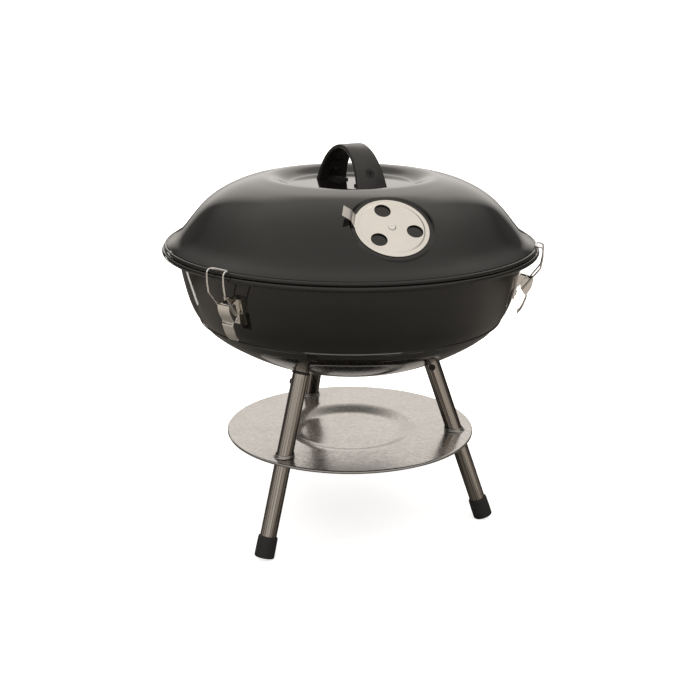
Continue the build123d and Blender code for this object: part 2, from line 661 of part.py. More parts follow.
# supports inside the wall, held by the latch rivets
tilt = math.radians(12.8)
for index, az in enumerate(latch_azimuths, 1):
    up = upright(az)
    with BuildPart() as support:
        with BuildSketch(up) as s:
            with BuildLine():
                Polyline((170, 238.0), (170, 260.0), (172, grate_z - grate_ring_w - 0.02), (152.0, grate_z - grate_ring_w - 0.02), (152.0, grate_z - grate_ring_w - 1.22),
                         (162.6, grate_z - grate_ring_w - 1.22), (162.4, 260.0), (158.8, 238.0), close=True)
            make_face()
        extrude(amount=8, both=True)
        add(bowl_hollow.part, mode=Mode.INTERSECT)
        for z, r in ((243.5, 161.4), (254.0, 164.0)):
            p = at(az, r, z)
            d = at(az, math.cos(tilt), -math.sin(tilt))
            with BuildSketch(Plane(origin=p + d * 6, x_dir=(0, 0, 1), z_dir=d)):
                Circle(1.63)
            extrude(amount=-14, mode=Mode.SUBTRACT)
    print("support", index, support.part.volume, len(support.part.solids()), support.part.bounding_box())
    support.part.label = f"grate_support_{index}"
    export_step(support.part, f"parts/grate_support_{index}.step")

# ---- latches ------------------------------------------------------------
px, pz = pivot
qx, qz = bail_pivot
lever_web = [(179.2, 259.2), (178.9, 254.8), (177.0, 249.0), (173.8, 243.6), (173.2, 241.8), (173.5, 240.2),
             (172.9, 237.6), (171.0, 232.4), (168.8, 228.0), (166.9, 225.4), (165.6, 224.0)]
for index, az in enumerate(latch_azimuths, 1):
    up = upright(az)

    # plate on the bowl wall with two folded ears for the pin
    with BuildPart() as base:
        with BuildSketch(up) as s:
            with BuildLine():
                lo_r, hi_r = 160.6, 166.05
                Polyline((150, 239.0), (lo_r + 1.0, 239.0), (hi_r + 1.0, 263.0), (150, 263.0), close=True)
            make_face()
        extrude(amount=base_half_w, both=True)
        for t in (ear_in, -ear_out):
            with BuildSketch(up.offset(t)) as s:
                with BuildLine():
                    Polyline((163.0, 249.0), (170.2, 254.9), (174.6, 257.0), (174.6, 258.6), (171.6, 260.6), (165.0, 262.4), close=True)
                make_face()
                with Locations((px, pz)):
                    Circle(3.1)
            extrude(amount=ear_out - ear_in)
        add(bowl_envelope.part, mode=Mode.SUBTRACT)
        with BuildSketch(up.offset(-10)):
            with Locations((px, pz)):
                Circle(pin_r + 0.02)
        extrude(amount=20, mode=Mode.SUBTRACT)
        for z, r in ((243.5, 161.4), (254.0, 164.0)):
            p = at(az, r, z)
            d = at(az, math.cos(tilt), -math.sin(tilt))
            with BuildSketch(Plane(origin=p + d * 6, x_dir=(0, 0, 1), z_dir=d)):
                Circle(1.63)
            extrude(amount=-14, mode=Mode.SUBTRACT)
    print("base", index, base.part.volume, len(base.part.solids()))
    base.part.label = f"latch_base_{index}"
    export_step(base.part, f"parts/latch_base_{index}.step")

    with BuildPart() as pin:
        with BuildSketch(up.offset(-lever_out - 0.15)):
            with Locations((px, pz)):
                Circle(pin_r)
        extrude(amount=2 * (lever_out + 0.15))
        for t, grow in ((lever_out + 0.15, 1), (-lever_out - 0.15, -1)):
            with BuildSketch(up.offset(t)):
                with Locations((px, pz)):
                    Circle(2.3)
            extrude(amount=0.7 * grow)
    pin.part.label = f"latch_pin_{index}"
    export_step(pin.part, f"parts/latch_pin_{index}.step")

    # channel-shaped lever with a curled finger tongue
    with BuildPart() as lever:
        with BuildSketch(up) as s:
            with BuildLine():
                back = inset(lever_web, 1.1)
                Spline(*lever_web)
                Line(lever_web[-1], back[-1])
                Spline(*back[::-1])
                Line(back[0], lever_web[0])
            make_face()
        extrude(amount=lever_out, both=True)
        for t in (lever_in, -lever_out):
            with BuildSketch(up.offset(t)) as s:
                with BuildLine():
                    mid = inset(lever_web, 0.5)
                    Spline((178.55, 258.8), *mid[1:4])
                    Polyline(mid[3], (169.6, 241.7), (164.8, 244.8), (165.9, 248.4), (167.5, 252.6), (169.0, 257.0), (170.0, 259.8), (178.55, 258.8))
                make_face()
                with Locations((px, pz)):
                    Circle(3.1)
                with Locations((qx, qz)):
                    Circle(2.2)
            extrude(amount=lever_out - lever_in)
        # rounded tongue end
        tongue = Plane(origin=at(az, 168.8, 228.06), x_dir=up.z_dir, z_dir=at(az, 0.78, -0.62))
        with BuildSketch(tongue) as s:
            Rectangle(40, 40)
            with BuildLine():
                sgn = 1 if tongue.y_dir.Z > 0 else -1
                Polyline((-7.1, 60 * sgn), (-7.1, 0.8 * sgn), (-6.4, -0.6 * sgn))
                ThreePointArc((-6.4, -0.6 * sgn), (0, -5.2 * sgn), (6.4, -0.6 * sgn))
                Polyline((6.4, -0.6 * sgn), (7.1, 0.8 * sgn), (7.1, 60 * sgn), (-7.1, 60 * sgn))
            make_face(mode=Mode.SUBTRACT)
        extrude(amount=8, both=True, mode=Mode.SUBTRACT)
        with BuildSketch(up.offset(-10)):
            with Locations((px, pz)):
                Circle(pin_r + pin_clearance)
        extrude(amount=20, mode=Mode.SUBTRACT)
        with BuildSketch(up.offset(-10)):
            with Locations((qx, qz)):
                Circle(wire_r + pin_clearance)
        extrude(amount=20, mode=Mode.SUBTRACT)
    print("lever", index, lever.part.volume, len(lever.part.solids()), lever.part.bounding_box().min.Z)
    lever.part.label = f"latch_lever_{index}"
    export_step(lever.part, f"parts/latch_lever_{index}.step")

    # wire bail, hooked over the lid's rolled edge
    side_t, wide_t, end_t = 8.15, 10.0, 5.3
    run = [(qx, qz, end_t), (qx, qz, side_t), (185.6, 270.6, wide_t), (187.2, 280.5, wide_t), (187.2, 291.3, wide_t), (180.3, 291.35, wide_t)]
    path_pts = [at(az, r, z, t) for r, z, t in run] + [at(az, r, z, -t) for r, z, t in run[::-1]]
    with BuildPart() as bail:
        with BuildLine() as wire:
            bent_wire(path_pts, [1.3, 4.0, 6.0, 3.4, 3.0, 3.0, 3.4, 6.0, 4.0, 1.3])
        with BuildSketch(Plane(origin=wire.line @ 0, z_dir=wire.line % 0)):
            Circle(wire_r)
        sweep(path=wire.line)
    print("bail", index, bail.part.volume, len(bail.part.solids()))
    bail.part.label = f"latch_bail_{index}"
    export_step(bail.part, f"parts/latch_bail_{index}.step")

# rivets: through plate, bowl wall and the grate support behind it
with BuildPart() as latch_rivets:
    for az in latch_azimuths:
        for z, r in ((243.5, 161.4), (254.0, 164.0)):
            p = at(az, r, z)
            d = at(az, math.cos(tilt), -math.sin(tilt))
            with BuildSketch(Plane(origin=p + d * 1.25, x_dir=(0, 0, 1), z_dir=d)):
                Circle(2.8)
            extrude(amount=1.0, taper=25)
            with BuildSketch(Plane(origin=p + d * 1.25, x_dir=(0, 0, 1), z_dir=d)):
                Circle(1.6)
            extrude(amount=-4.4)
            with BuildSketch(Plane(origin=p - d * 2.75, x_dir=(0, 0, 1), z_dir=d)):
                Circle(2.6)
            extrude(amount=-0.9)
print("latch rivets", len(latch_rivets.part.solids()))
latch_rivets.part.label = "latch_rivets"
export_step(latch_rivets.part, "parts/latch_rivets.step")
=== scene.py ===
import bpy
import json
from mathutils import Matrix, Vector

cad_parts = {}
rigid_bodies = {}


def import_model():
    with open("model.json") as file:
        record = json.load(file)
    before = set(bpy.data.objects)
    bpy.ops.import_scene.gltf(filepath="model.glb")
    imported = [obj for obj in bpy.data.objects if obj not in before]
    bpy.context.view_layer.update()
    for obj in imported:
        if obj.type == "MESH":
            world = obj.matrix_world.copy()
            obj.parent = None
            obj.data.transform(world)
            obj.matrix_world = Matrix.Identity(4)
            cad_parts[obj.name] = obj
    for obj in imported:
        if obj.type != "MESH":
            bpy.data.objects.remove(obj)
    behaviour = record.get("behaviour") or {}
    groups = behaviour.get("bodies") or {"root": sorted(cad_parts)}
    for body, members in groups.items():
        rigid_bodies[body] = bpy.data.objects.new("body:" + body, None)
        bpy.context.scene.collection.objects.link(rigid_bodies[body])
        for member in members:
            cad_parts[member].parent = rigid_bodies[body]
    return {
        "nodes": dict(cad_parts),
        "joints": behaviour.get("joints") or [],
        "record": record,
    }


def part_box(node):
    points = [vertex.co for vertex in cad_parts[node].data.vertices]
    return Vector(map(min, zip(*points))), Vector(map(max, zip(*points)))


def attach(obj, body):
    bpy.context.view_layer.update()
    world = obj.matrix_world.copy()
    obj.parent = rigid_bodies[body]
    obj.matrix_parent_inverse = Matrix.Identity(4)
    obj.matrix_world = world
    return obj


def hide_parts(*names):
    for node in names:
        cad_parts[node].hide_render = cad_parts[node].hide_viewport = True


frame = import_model()

import json
import math

import bpy
import numpy as np
from mathutils import Matrix, Vector

record = frame["record"]
nodes = frame["nodes"]
joints = {j["name"]: j for j in frame["joints"]}
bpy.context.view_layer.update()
MM = 0.001
rng = np.random.default_rng(7)


# ------------------------------------------------------------------ anchors
def span(node):
    low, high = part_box(node)
    return np.array(low) / MM, np.array(high) / MM


lid_lo, lid_hi = span("lid")
bowl_lo, bowl_hi = span("bowl")
plate_lo, plate_hi = span("ash_plate")
KL = (lid_hi[0] - lid_lo[0]) / 363.6          # lid shape data is written for a 363.6 mm wide lid
KB = (bowl_hi[0] - bowl_lo[0]) / 368.0
LZ = lid_hi[2] - 353.12
BZ = bowl_lo[2] - 166.0


def L(points):
    return [(x * KL, z + LZ) for x, z in points]


def B(points):
    return [(x * KB, z + BZ) for x, z in points]


# ------------------------------------------------------------------ curves
def spline(points, step=1.0, clamp_start=None, clamp_end=None):
    """Cubic spline through points, sampled about every step millimetres."""
    p = np.array(points, float)
    d = np.linalg.norm(np.diff(p, axis=0), axis=1)
    t = np.concatenate([[0], np.cumsum(d)])
    n = len(p)
    out = []
    m = np.zeros((n, p.shape[1]))
    a = np.zeros((n, n))
    b = np.zeros((n, p.shape[1]))
    for i in range(1, n - 1):
        h0, h1 = t[i] - t[i - 1], t[i + 1] - t[i]
        a[i, i - 1], a[i, i], a[i, i + 1] = h0, 2 * (h0 + h1), h1
        b[i] = 6 * ((p[i + 1] - p[i]) / h1 - (p[i] - p[i - 1]) / h0)
    if clamp_start is None:
        a[0, 0] = 1
    else:
        h = t[1] - t[0]
        c = np.array(clamp_start, float) / np.linalg.norm(clamp_start)
        a[0, 0], a[0, 1] = 2 * h, h
        b[0] = 6 * ((p[1] - p[0]) / h - c)
    if clamp_end is None:
        a[-1, -1] = 1
    else:
        h = t[-1] - t[-2]
        c = np.array(clamp_end, float) / np.linalg.norm(clamp_end)
        a[-1, -1], a[-1, -2] = 2 * h, h
        b[-1] = 6 * (c - (p[-1] - p[-2]) / h)
    m = np.linalg.solve(a, b)
    for i in range(n - 1):
        h = t[i + 1] - t[i]
        k = max(1, int(math.ceil(h / step)))
        for q in range(k):
            x = t[i] + h * q / k
            u, v = (t[i + 1] - x), (x - t[i])
            out.append(m[i] * u**3 / (6 * h) + m[i + 1] * v**3 / (6 * h)
                       + (p[i] / h - m[i] * h / 6) * u + (p[i + 1] / h - m[i + 1] * h / 6) * v)
    out.append(p[-1])
    return np.array(out)


def line(a, b, step=1.0):
    a, b = np.array(a, float), np.array(b, float)
    k = max(1, int(math.ceil(np.linalg.norm(b - a) / step)))
    return a + (b - a) * np.linspace(0, 1, k + 1)[:, None]


def arc(c, r, a0, a1, n):
    t = np.radians(np.linspace(a0, a1, n))
    return np.stack([c[0] + r * np.cos(t), c[1] + r * np.sin(t)], 1)


def chain(*parts):
    out = [np.array(parts[0], float)]
    for p in parts[1:]:
        p = np.array(p, float)
        out.append(p[1:] if np.linalg.norm(p[0] - out[-1][-1]) < 1e-6 else p)
    return np.concatenate(out)


def round_corners(points, r, n=5):
    """Polyline in 2 or 3 dimensions with its inner corners rounded."""
    p = [np.array(q, float) for q in points]
    out = [p[0]]
    rr = r if isinstance(r, (list, tuple)) else [r] * (len(p) - 2)
    for i in range(1, len(p) - 1):
        u = p[i - 1] - p[i]
        v = p[i + 1] - p[i]
        u, v = u / np.linalg.norm(u), v / np.linalg.norm(v)
        half = math.acos(max(-1, min(1, float(u @ v)))) / 2
        if half > math.pi / 2 - 0.01:
            out.append(p[i])
            continue
        back = rr[i - 1] / math.tan(half)
        mid = (u + v) / np.linalg.norm(u + v)
        c = p[i] + mid * rr[i - 1] / math.sin(half)
        a, b = p[i] + u * back - c, p[i] + v * back - c
        w = math.acos(max(-1, min(1, float(a @ b) / (rr[i - 1] ** 2))))
        for k in range(n + 1):
            s = k / n
            out.append(c + (a * math.sin((1 - s) * w) + b * math.sin(s * w)) / math.sin(w))
    out.append(p[-1])
    return np.array(out)


# ------------------------------------------------------------------ meshes
def mesh(name, verts, faces, material, body, replaces=None, smooth=True, auto=None):
    me = bpy.data.meshes.new(name)
    me.from_pydata([tuple(v) for v in (np.array(verts, float) * MM)], [], [tuple(int(i) for i in f) for f in faces])
    me.validate()
    if smooth:
        me.polygons.foreach_set("use_smooth", [True] * len(me.polygons))
    me.materials.append(material)
    ob = bpy.data.objects.new(name, me)
    bpy.context.scene.collection.objects.link(ob)
    if auto is not None:
        me.set_sharp_from_angle(angle=math.radians(auto))
    if body:
        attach(ob, body)
    if replaces:
        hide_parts(replaces)
    return ob


def grid_faces(nu, nv, closed_v=True, flip=False):
    i = np.arange(nu - 1)[:, None]
    j = np.arange(nv if closed_v else nv - 1)[None, :]
    k = (j + 1) % nv
    q = np.stack([i * nv + j, (i + 1) * nv + j, (i + 1) * nv + k, i * nv + k], -1).reshape(-1, 4)
    return q[:, ::-1] if flip else q


def revolve(profile, theta, close=False):
    """Grid of a profile (radius, height) turned about z. theta in radians from -Y towards +X."""
    p = np.array(profile, float)
    th = np.array(theta, float)
    x = p[:, :1] * np.sin(th)[None, :]
    y = -p[:, :1] * np.cos(th)[None, :]
    z = np.repeat(p[:, 1:], len(th), 1)
    v = np.stack([x, y, z], -1).reshape(-1, 3)
    f = grid_faces(len(p) + (1 if close else 0), len(th))
    if close:
        f = f % (len(p) * len(th))
    return v, f


def frame_from(origin, z_dir, x_dir):
    z = np.array(z_dir, float)
    z /= np.linalg.norm(z)
    x = np.array(x_dir, float)
    x = x - z * (x @ z)
    x /= np.linalg.norm(x)
    y = np.cross(z, x)
    return np.array(origin, float), x, y, z


def place(local, fr):
    o, x, y, z = fr
    q = np.array(local, float)
    return o + q[:, :1] * x + q[:, 1:2] * y + q[:, 2:3] * z


def lathe(profile, fr, segs=64, pole_start=True, pole_end=True):
    """Solid of revolution about the frame's z; a profile end at radius 0 becomes a pole."""
    p = np.array(profile, float)
    th = np.linspace(0, 2 * math.pi, segs, endpoint=False)
    verts, faces, rings = [], [], []
    for r, h in p:
        if r < 1e-9:
            rings.append([len(verts)])
            verts.append((0, 0, h))
        else:
            rings.append(list(range(len(verts), len(verts) + segs)))
            verts += [(r * math.cos(a), r * math.sin(a), h) for a in th]
    for a, b in zip(rings[:-1], rings[1:]):
        for j in range(segs):
            k = (j + 1) % segs
            if len(a) == 1 and len(b) == 1:
                continue
            if len(a) == 1:
                faces.append((a[0], b[j], b[k]))
            elif len(b) == 1:
                faces.append((a[j], b[0], a[k]))
            else:
                faces.append((a[j], b[j], b[k], a[k]))
    # volume swept by the profile about the axis: its sign says which way the faces look
    turn = sum((h1 - h0) * (r0 * r0 + r0 * r1 + r1 * r1) for (r0, h0), (r1, h1) in zip(p[:-1], p[1:]))
    if turn > 0:
        faces = [q[::-1] for q in faces]
    return place(verts, fr), faces


def tube(path, radius, segs=14, closed=False, caps=True, round_end=0.0):
    """Round wire along a path."""
    p = np.array(path, float)
    n = len(p)
    tan = np.zeros_like(p)
    if closed:
        tan = np.roll(p, -1, 0) - np.roll(p, 1, 0)
    else:
        tan[1:-1] = p[2:] - p[:-2]
        tan[0], tan[-1] = p[1] - p[0], p[-1] - p[-2]
    tan /= np.linalg.norm(tan, axis=1)[:, None]
    ref = np.array([0, 0, 1.0]) if abs(tan[0][2]) < 0.9 else np.array([1.0, 0, 0])
    nrm = ref - tan[0] * (ref @ tan[0])
    nrm /= np.linalg.norm(nrm)
    verts = []
    a = np.linspace(0, 2 * math.pi, segs, endpoint=False)
    for i in range(n):
        nrm = nrm - tan[i] * (nrm @ tan[i])
        nrm /= np.linalg.norm(nrm)
        bi = np.cross(tan[i], nrm)
        verts.append(p[i] + radius * (np.cos(a)[:, None] * nrm + np.sin(a)[:, None] * bi))
    v = np.concatenate(verts)
    f = [tuple(q) for q in grid_faces(n, segs, True, True)]
    if closed:
        for j in range(segs):
            k = (j + 1) % segs
            f.append(((n - 1) * segs + k, k, j, (n - 1) * segs + j)[::-1])
    elif caps:
        v = np.concatenate([v, [p[0] - tan[0] * radius * round_end, p[-1] + tan[-1] * radius * round_end]])
        for j in range(segs):
            k = (j + 1) % segs
            f.append((len(v) - 2, k, j)[::-1])
            f.append((len(v) - 1, (n - 1) * segs + j, (n - 1) * segs + k)[::-1])
    return v, f


def join(parts):
    verts, faces, base = [], [], 0
    for v, f in parts:
        verts.append(np.array(v, float))
        faces += [tuple(int(i) + base for i in q) for q in f]
        base += len(v)
    return np.concatenate(verts), faces


def drop_inside(verts, faces, inside, snap):
    """Cut openings out of a sheet: faces whose middle is inside go, and the edge left is pulled onto the outline."""
    faces = np.array(faces)
    mid = verts[faces].mean(1)
    gone = inside(mid)
    keep = faces[~gone]
    edge = np.intersect1d(np.unique(faces[gone]), np.unique(keep))
    verts = verts.copy()
    verts[edge] = snap(verts[edge])
    used = np.unique(keep)
    remap = -np.ones(len(verts), int)
    remap[used] = np.arange(len(used))
    return verts[used], remap[keep]


def solidify(ob, thick, offset=-1.0):
    m = ob.modifiers.new("thickness", "SOLIDIFY")
    m.thickness = thick * MM
    m.offset = offset
    m.use_even_offset = True
    m.use_quality_normals = True
    return m


def bevel(ob, width, segments=2, angle=35):
    m = ob.modifiers.new("edge", "BEVEL")
    m.width = width * MM
    m.segments = segments
    m.limit_method = "ANGLE"
    m.angle_limit = math.radians(angle)
    m.harden_normals = False
    return m


def radial(az, r, z, t=0.0):
    a = math.radians(az)
    return np.array([r * math.sin(a) + t * math.cos(a), -r * math.cos(a) + t * math.sin(a), z])


# ------------------------------------------------------------------ materials
def nt(name):
    m = bpy.data.materials.new(name)
    m.use_nodes = True
    t = m.node_tree
    t.nodes.clear()
    out = t.nodes.new("ShaderNodeOutputMaterial")
    b = t.nodes.new("ShaderNodeBsdfPrincipled")
    t.links.new(b.outputs["BSDF"], out.inputs["Surface"])
    return m, t, b


def node(t, kind, **kw):
    n = t.nodes.new(kind)
    for k, v in kw.items():
        if k in n.inputs:
            n.inputs[k].default_value = v
        else:
            setattr(n, k, v)
    return n


def coords(t, scale=(1, 1, 1)):
    c = t.nodes.new("ShaderNodeTexCoord")
    m = t.nodes.new("ShaderNodeMapping")
    m.inputs["Scale"].default_value = scale
    t.links.new(c.outputs["Object"], m.inputs["Vector"])
    return m.outputs["Vector"]


def noise(t, vec, scale, detail=4.0, rough=0.55, distortion=0.0):
    n = t.nodes.new("ShaderNodeTexNoise")
    n.inputs["Scale"].default_value = scale
    n.inputs["Detail"].default_value = detail
    n.inputs["Roughness"].default_value = rough
    n.inputs["Distortion"].default_value = distortion
    t.links.new(vec, n.inputs["Vector"])
    return n.outputs["Fac"]


def ramp(t, fac, stops):
    r = t.nodes.new("ShaderNodeValToRGB")
    el = r.color_ramp.elements
    while len(el) < len(stops):
        el.new(0.5)
    for e, (pos, col) in zip(el, stops):
        e.position = pos
        e.color = (*col, 1) if len(col) == 3 else col
    t.links.new(fac, r.inputs["Fac"])
    return r.outputs["Color"]


def remap(t, fac, lo, hi, a=0.0, b=1.0):
    m = t.nodes.new("ShaderNodeMapRange")
    m.inputs["From Min"].default_value = a
    m.inputs["From Max"].default_value = b
    m.inputs["To Min"].default_value = lo
    m.inputs["To Max"].default_value = hi
    t.links.new(fac, m.inputs["Value"])
    return m.outputs["Result"]


def mix(t, fac, a, b, mode="MIX"):
    m = t.nodes.new("ShaderNodeMix")
    m.data_type = "RGBA"
    m.blend_type = mode
    for sock, v in ((m.inputs[0], fac), (m.inputs[6], a), (m.inputs[7], b)):
        if hasattr(v, "links") or isinstance(v, bpy.types.NodeSocket):
            t.links.new(v, sock)
        elif isinstance(v, (int, float)):
            sock.default_value = v
        else:
            sock.default_value = (*v, 1) if len(v) == 3 else v
    return m.outputs[2]


def bump(t, b, height, strength, distance, prev=None):
    n = t.nodes.new("ShaderNodeBump")
    n.inputs["Strength"].default_value = strength
    n.inputs["Distance"].default_value = distance
    t.links.new(height, n.inputs["Height"])
    if prev is not None:
        t.links.new(prev, n.inputs["Normal"])
    t.links.new(n.outputs["Normal"], b.inputs["Normal"])
    return n.outputs["Normal"]


def enamel():
    m, t, b = nt("black_enamel")
    v = coords(t)
    big = noise(t, v, 9.0, 3.0)
    b.inputs["Specular IOR Level"].default_value = 0.42
    col = ramp(t, big, [(0.35, (0.0062, 0.0060, 0.0050)), (0.7, (0.0100, 0.0094, 0.0080))])
    dust = noise(t, v, 900.0, 2.0, 0.6)
    speck = ramp(t, dust, [(0.70, (0, 0, 0)), (0.78, (1, 1, 1))])
    t.links.new(mix(t, speck, col, (0.022, 0.021, 0.019)), b.inputs["Base Color"])
    smear = noise(t, coords(t, (1.0, 1.0, 2.4)), 26.0, 5.0, 0.62, 0.6)
    t.links.new(remap(t, smear, 0.045, 0.115, 0.3, 0.75), b.inputs["Roughness"])
    peel = noise(t, v, 210.0, 2.0, 0.5)
    wave = noise(t, v, 16.0, 1.0, 0.4)
    n1 = bump(t, b, wave, 0.10, 0.0012)
    bump(t, b, peel, 0.05, 0.00022, n1)
    b.inputs["Coat Weight"].default_value = 0.12
    b.inputs["Coat Roughness"].default_value = 0.03
    return m


def plastic():
    m, t, b = nt("black_plastic")
    v = coords(t)
    g = noise(t, v, 60.0, 4.0)
    t.links.new(ramp(t, g, [(0.3, (0.016, 0.015, 0.0135)), (0.75, (0.026, 0.0245, 0.0225))]), b.inputs["Base Color"])
    t.links.new(remap(t, noise(t, v, 34.0, 5.0, 0.65), 0.22, 0.36, 0.3, 0.75), b.inputs["Roughness"])
    n1 = bump(t, b, noise(t, v, 1700.0, 2.0), 0.16, 0.00014)
    bump(t, b, noise(t, v, 55.0, 3.0), 0.1, 0.0004, n1)
    return m


def coated(name, base=(0.014, 0.0135, 0.013), rough=0.42):
    m, t, b = nt(name)
    v = coords(t)
    g = noise(t, v, 130.0, 5.0)
    t.links.new(ramp(t, g, [(0.3, tuple(c * 0.75 for c in base)), (0.75, tuple(c * 1.6 for c in base))]), b.inputs["Base Color"])
    t.links.new(remap(t, noise(t, v, 90.0, 4.0), rough - 0.08, rough + 0.12, 0.3, 0.7), b.inputs["Roughness"])
    bump(t, b, noise(t, v, 900.0, 3.0), 0.25, 0.00012)
    return m


def metal(name, base, rough, streak=None, streak_scale=900.0, tint=0.12, wear=0.10, aniso=0.0, bump_s=0.12, grain=700.0):
    """Metal with a soft uneven sheen; streak is the direction its fine lines run in."""
    m, t, b = nt(name)
    v = coords(t)
    b.inputs["Metallic"].default_value = 1.0
    g = noise(t, v, 22.0, 5.0, 0.6)
    dark = tuple(c * (1 - tint) for c in base)
    lite = tuple(min(1.0, c * (1 + tint * 0.6)) for c in base)
    col = ramp(t, g, [(0.28, dark), (0.72, lite)])
    if streak:
        sv = coords(t, streak)
        s = noise(t, sv, streak_scale, 3.0, 0.6)
        col = mix(t, 0.22, col, ramp(t, s, [(0.3, dark), (0.7, lite)]))
        bump(t, b, s, bump_s, 0.00006)
    else:
        bump(t, b, noise(t, v, grain, 3.0), bump_s, 0.00006)
    t.links.new(col, b.inputs["Base Color"])
    t.links.new(remap(t, noise(t, v, 48.0, 5.0, 0.65), max(0.03, rough - wear * 0.6), rough + wear, 0.28, 0.74), b.inputs["Roughness"])
    b.inputs["Anisotropic"].default_value = aniso
    return m


def galvanised():
    m, t, b = nt("galvanised_steel")
    v = coords(t)
    b.inputs["Metallic"].default_value = 1.0
    vo = t.nodes.new("ShaderNodeTexVoronoi")
    vo.inputs["Scale"].default_value = 420.0
    t.links.new(v, vo.inputs["Vector"])
    sep = t.nodes.new("ShaderNodeSeparateColor")
    t.links.new(vo.outputs["Color"], sep.inputs["Color"])
    grain = ramp(t, sep.outputs["Red"], [(0.0, (0.345, 0.33, 0.315)), (0.55, (0.40, 0.385, 0.368)), (1.0, (0.455, 0.44, 0.42))])
    cloud = noise(t, v, 28.0, 5.0, 0.6)
    col = mix(t, 0.45, grain, ramp(t, cloud, [(0.3, (0.35, 0.337, 0.32)), (0.7, (0.44, 0.425, 0.405))]))
    spots = noise(t, v, 520.0, 2.0, 0.7)
    col = mix(t, ramp(t, spots, [(0.66, (0, 0, 0)), (0.74, (1, 1, 1))]), col, (0.26, 0.247, 0.232))
    t.links.new(col, b.inputs["Base Color"])
    r = remap(t, sep.outputs["Green"], 0.17, 0.27)
    t.links.new(r, b.inputs["Roughness"])
    n1 = bump(t, b, sep.outputs["Blue"], 0.05, 0.00005)
    bump(t, b, noise(t, v, 60.0, 3.0), 0.08, 0.0005, n1)
    return m


def tube_steel():
    m, t, b = nt("tube_steel")
    b.inputs["Metallic"].default_value = 1.0
    uv = t.nodes.new("ShaderNodeTexCoord")
    mp = t.nodes.new("ShaderNodeMapping")
    mp.inputs["Scale"].default_value = (60.0, 1.1, 1.0)
    t.links.new(uv.outputs["UV"], mp.inputs["Vector"])
    s = noise(t, mp.outputs["Vector"], 3.2, 6.0, 0.7)
    mp2 = t.nodes.new("ShaderNodeMapping")
    mp2.inputs["Scale"].default_value = (8.0, 0.30, 1.0)
    t.links.new(uv.outputs["UV"], mp2.inputs["Vector"])
    broad = noise(t, mp2.outputs["Vector"], 2.0, 3.0, 0.5)
    col = ramp(t, broad, [(0.36, (0.30, 0.265, 0.232)), (0.48, (0.50, 0.46, 0.415)), (0.64, (0.80, 0.76, 0.71))])
    col = mix(t, 0.5, col, ramp(t, s, [(0.3, (0.34, 0.305, 0.27)), (0.7, (0.74, 0.70, 0.655))]))
    v = coords(t)
    stain = noise(t, v, 40.0, 5.0, 0.65)
    col = mix(t, ramp(t, stain, [(0.58, (0, 0, 0)), (0.75, (0.55, 0.55, 0.55))]), col, (0.33, 0.28, 0.235))
    thin = t.nodes.new("ShaderNodeMapping")
    thin.inputs["Scale"].default_value = (13.0, 0.18, 1.0)
    t.links.new(uv.outputs["UV"], thin.inputs["Vector"])
    lines = noise(t, thin.outputs["Vector"], 2.4, 2.0, 0.5)
    col = mix(t, ramp(t, lines, [(0.0, (0.9,) * 3), (0.42, (0.8,) * 3), (0.49, (0, 0, 0))]), col, (0.12, 0.10, 0.085))
    # painted highlight and painted shade: the tube's colour is lifted where it faces the camera and darkened towards
    # its outline, giving each leg a light band down the middle and dark edges
    lw = t.nodes.new("ShaderNodeLayerWeight")
    lw.inputs["Blend"].default_value = 0.5
    painted_edge_shade = ramp(t, lw.outputs["Facing"], [(0.0, (1.06, 1.05, 1.04)), (0.30, (0.92, 0.91, 0.90)), (0.50, (0.56, 0.54, 0.52)), (0.72, (0.42, 0.40, 0.38)), (1.0, (0.30, 0.285, 0.27))])
    col = mix(t, 1.0, col, painted_edge_shade, "MULTIPLY")
    t.links.new(col, b.inputs["Base Color"])
    t.links.new(remap(t, s, 0.14, 0.30, 0.3, 0.7), b.inputs["Roughness"])
    bump(t, b, s, 0.2, 0.0001)
    return m


def rubber():
    m, t, b = nt("black_rubber")
    v = coords(t)
    g = noise(t, v, 85.0, 5.0)
    t.links.new(ramp(t, g, [(0.3, (0.011, 0.011, 0.0108)), (0.75, (0.021, 0.0208, 0.020))]), b.inputs["Base Color"])
    t.links.new(remap(t, g, 0.55, 0.78, 0.3, 0.7), b.inputs["Roughness"])
    bump(t, b, noise(t, v, 1100.0, 3.0), 0.3, 0.0002)
    return m


M = {
    "black_enamel": enamel(),
    "black_plastic": plastic(),
    "black_steel": coated("black_steel"),
    "dark_screw": coated("dark_screw", (0.007, 0.0065, 0.006), 0.5),
    "plated_steel": metal("plated_steel", (0.77, 0.735, 0.69), 0.24, streak=(1.0, 1.0, 1.0), streak_scale=1300.0, tint=0.06, wear=0.08),
    "plated_rivet": metal("plated_rivet", (0.80, 0.785, 0.755), 0.2, tint=0.1),
    "galvanised_steel": galvanised(),
    "tube_steel": tube_steel(),
    "latch_chrome": metal("latch_chrome", (0.84, 0.81, 0.765), 0.075, tint=0.10, wear=0.07, bump_s=0.1, grain=420.0),
    "latch_wire": metal("latch_wire", (0.80, 0.78, 0.75), 0.14, tint=0.10, wear=0.08),
    "chrome_wire": metal("chrome_wire", (0.82, 0.82, 0.81), 0.12, tint=0.10, wear=0.10),
    "black_wire": coated("black_wire", (0.032, 0.030, 0.028), 0.5),
    "black_rubber": rubber(),
}

slot_of = {s["node"]: s["material_slot"] for s in record["subparts"]}
for name, ob in nodes.items():
    ob.data.materials.clear()
    ob.data.materials.append(M[slot_of[name]])
for name in ("leg_socket_1", "leg_socket_2", "leg_socket_3", "handle_bracket_1", "handle_bracket_2", "grate_support_1",
             "grate_support_2", "grate_support_3", "latch_base_1", "latch_base_2", "latch_base_3", "leg_screws",
             "latch_pin_1", "latch_pin_2", "latch_pin_3", "latch_rivets", "handle_screws", "bracket_rivets", "bowl_damper_rivet"):
    w = nodes[name].modifiers.new("weld", "WELD")
    w.merge_threshold = 1e-6
    bevel(nodes[name], 0.18, 2, 40)

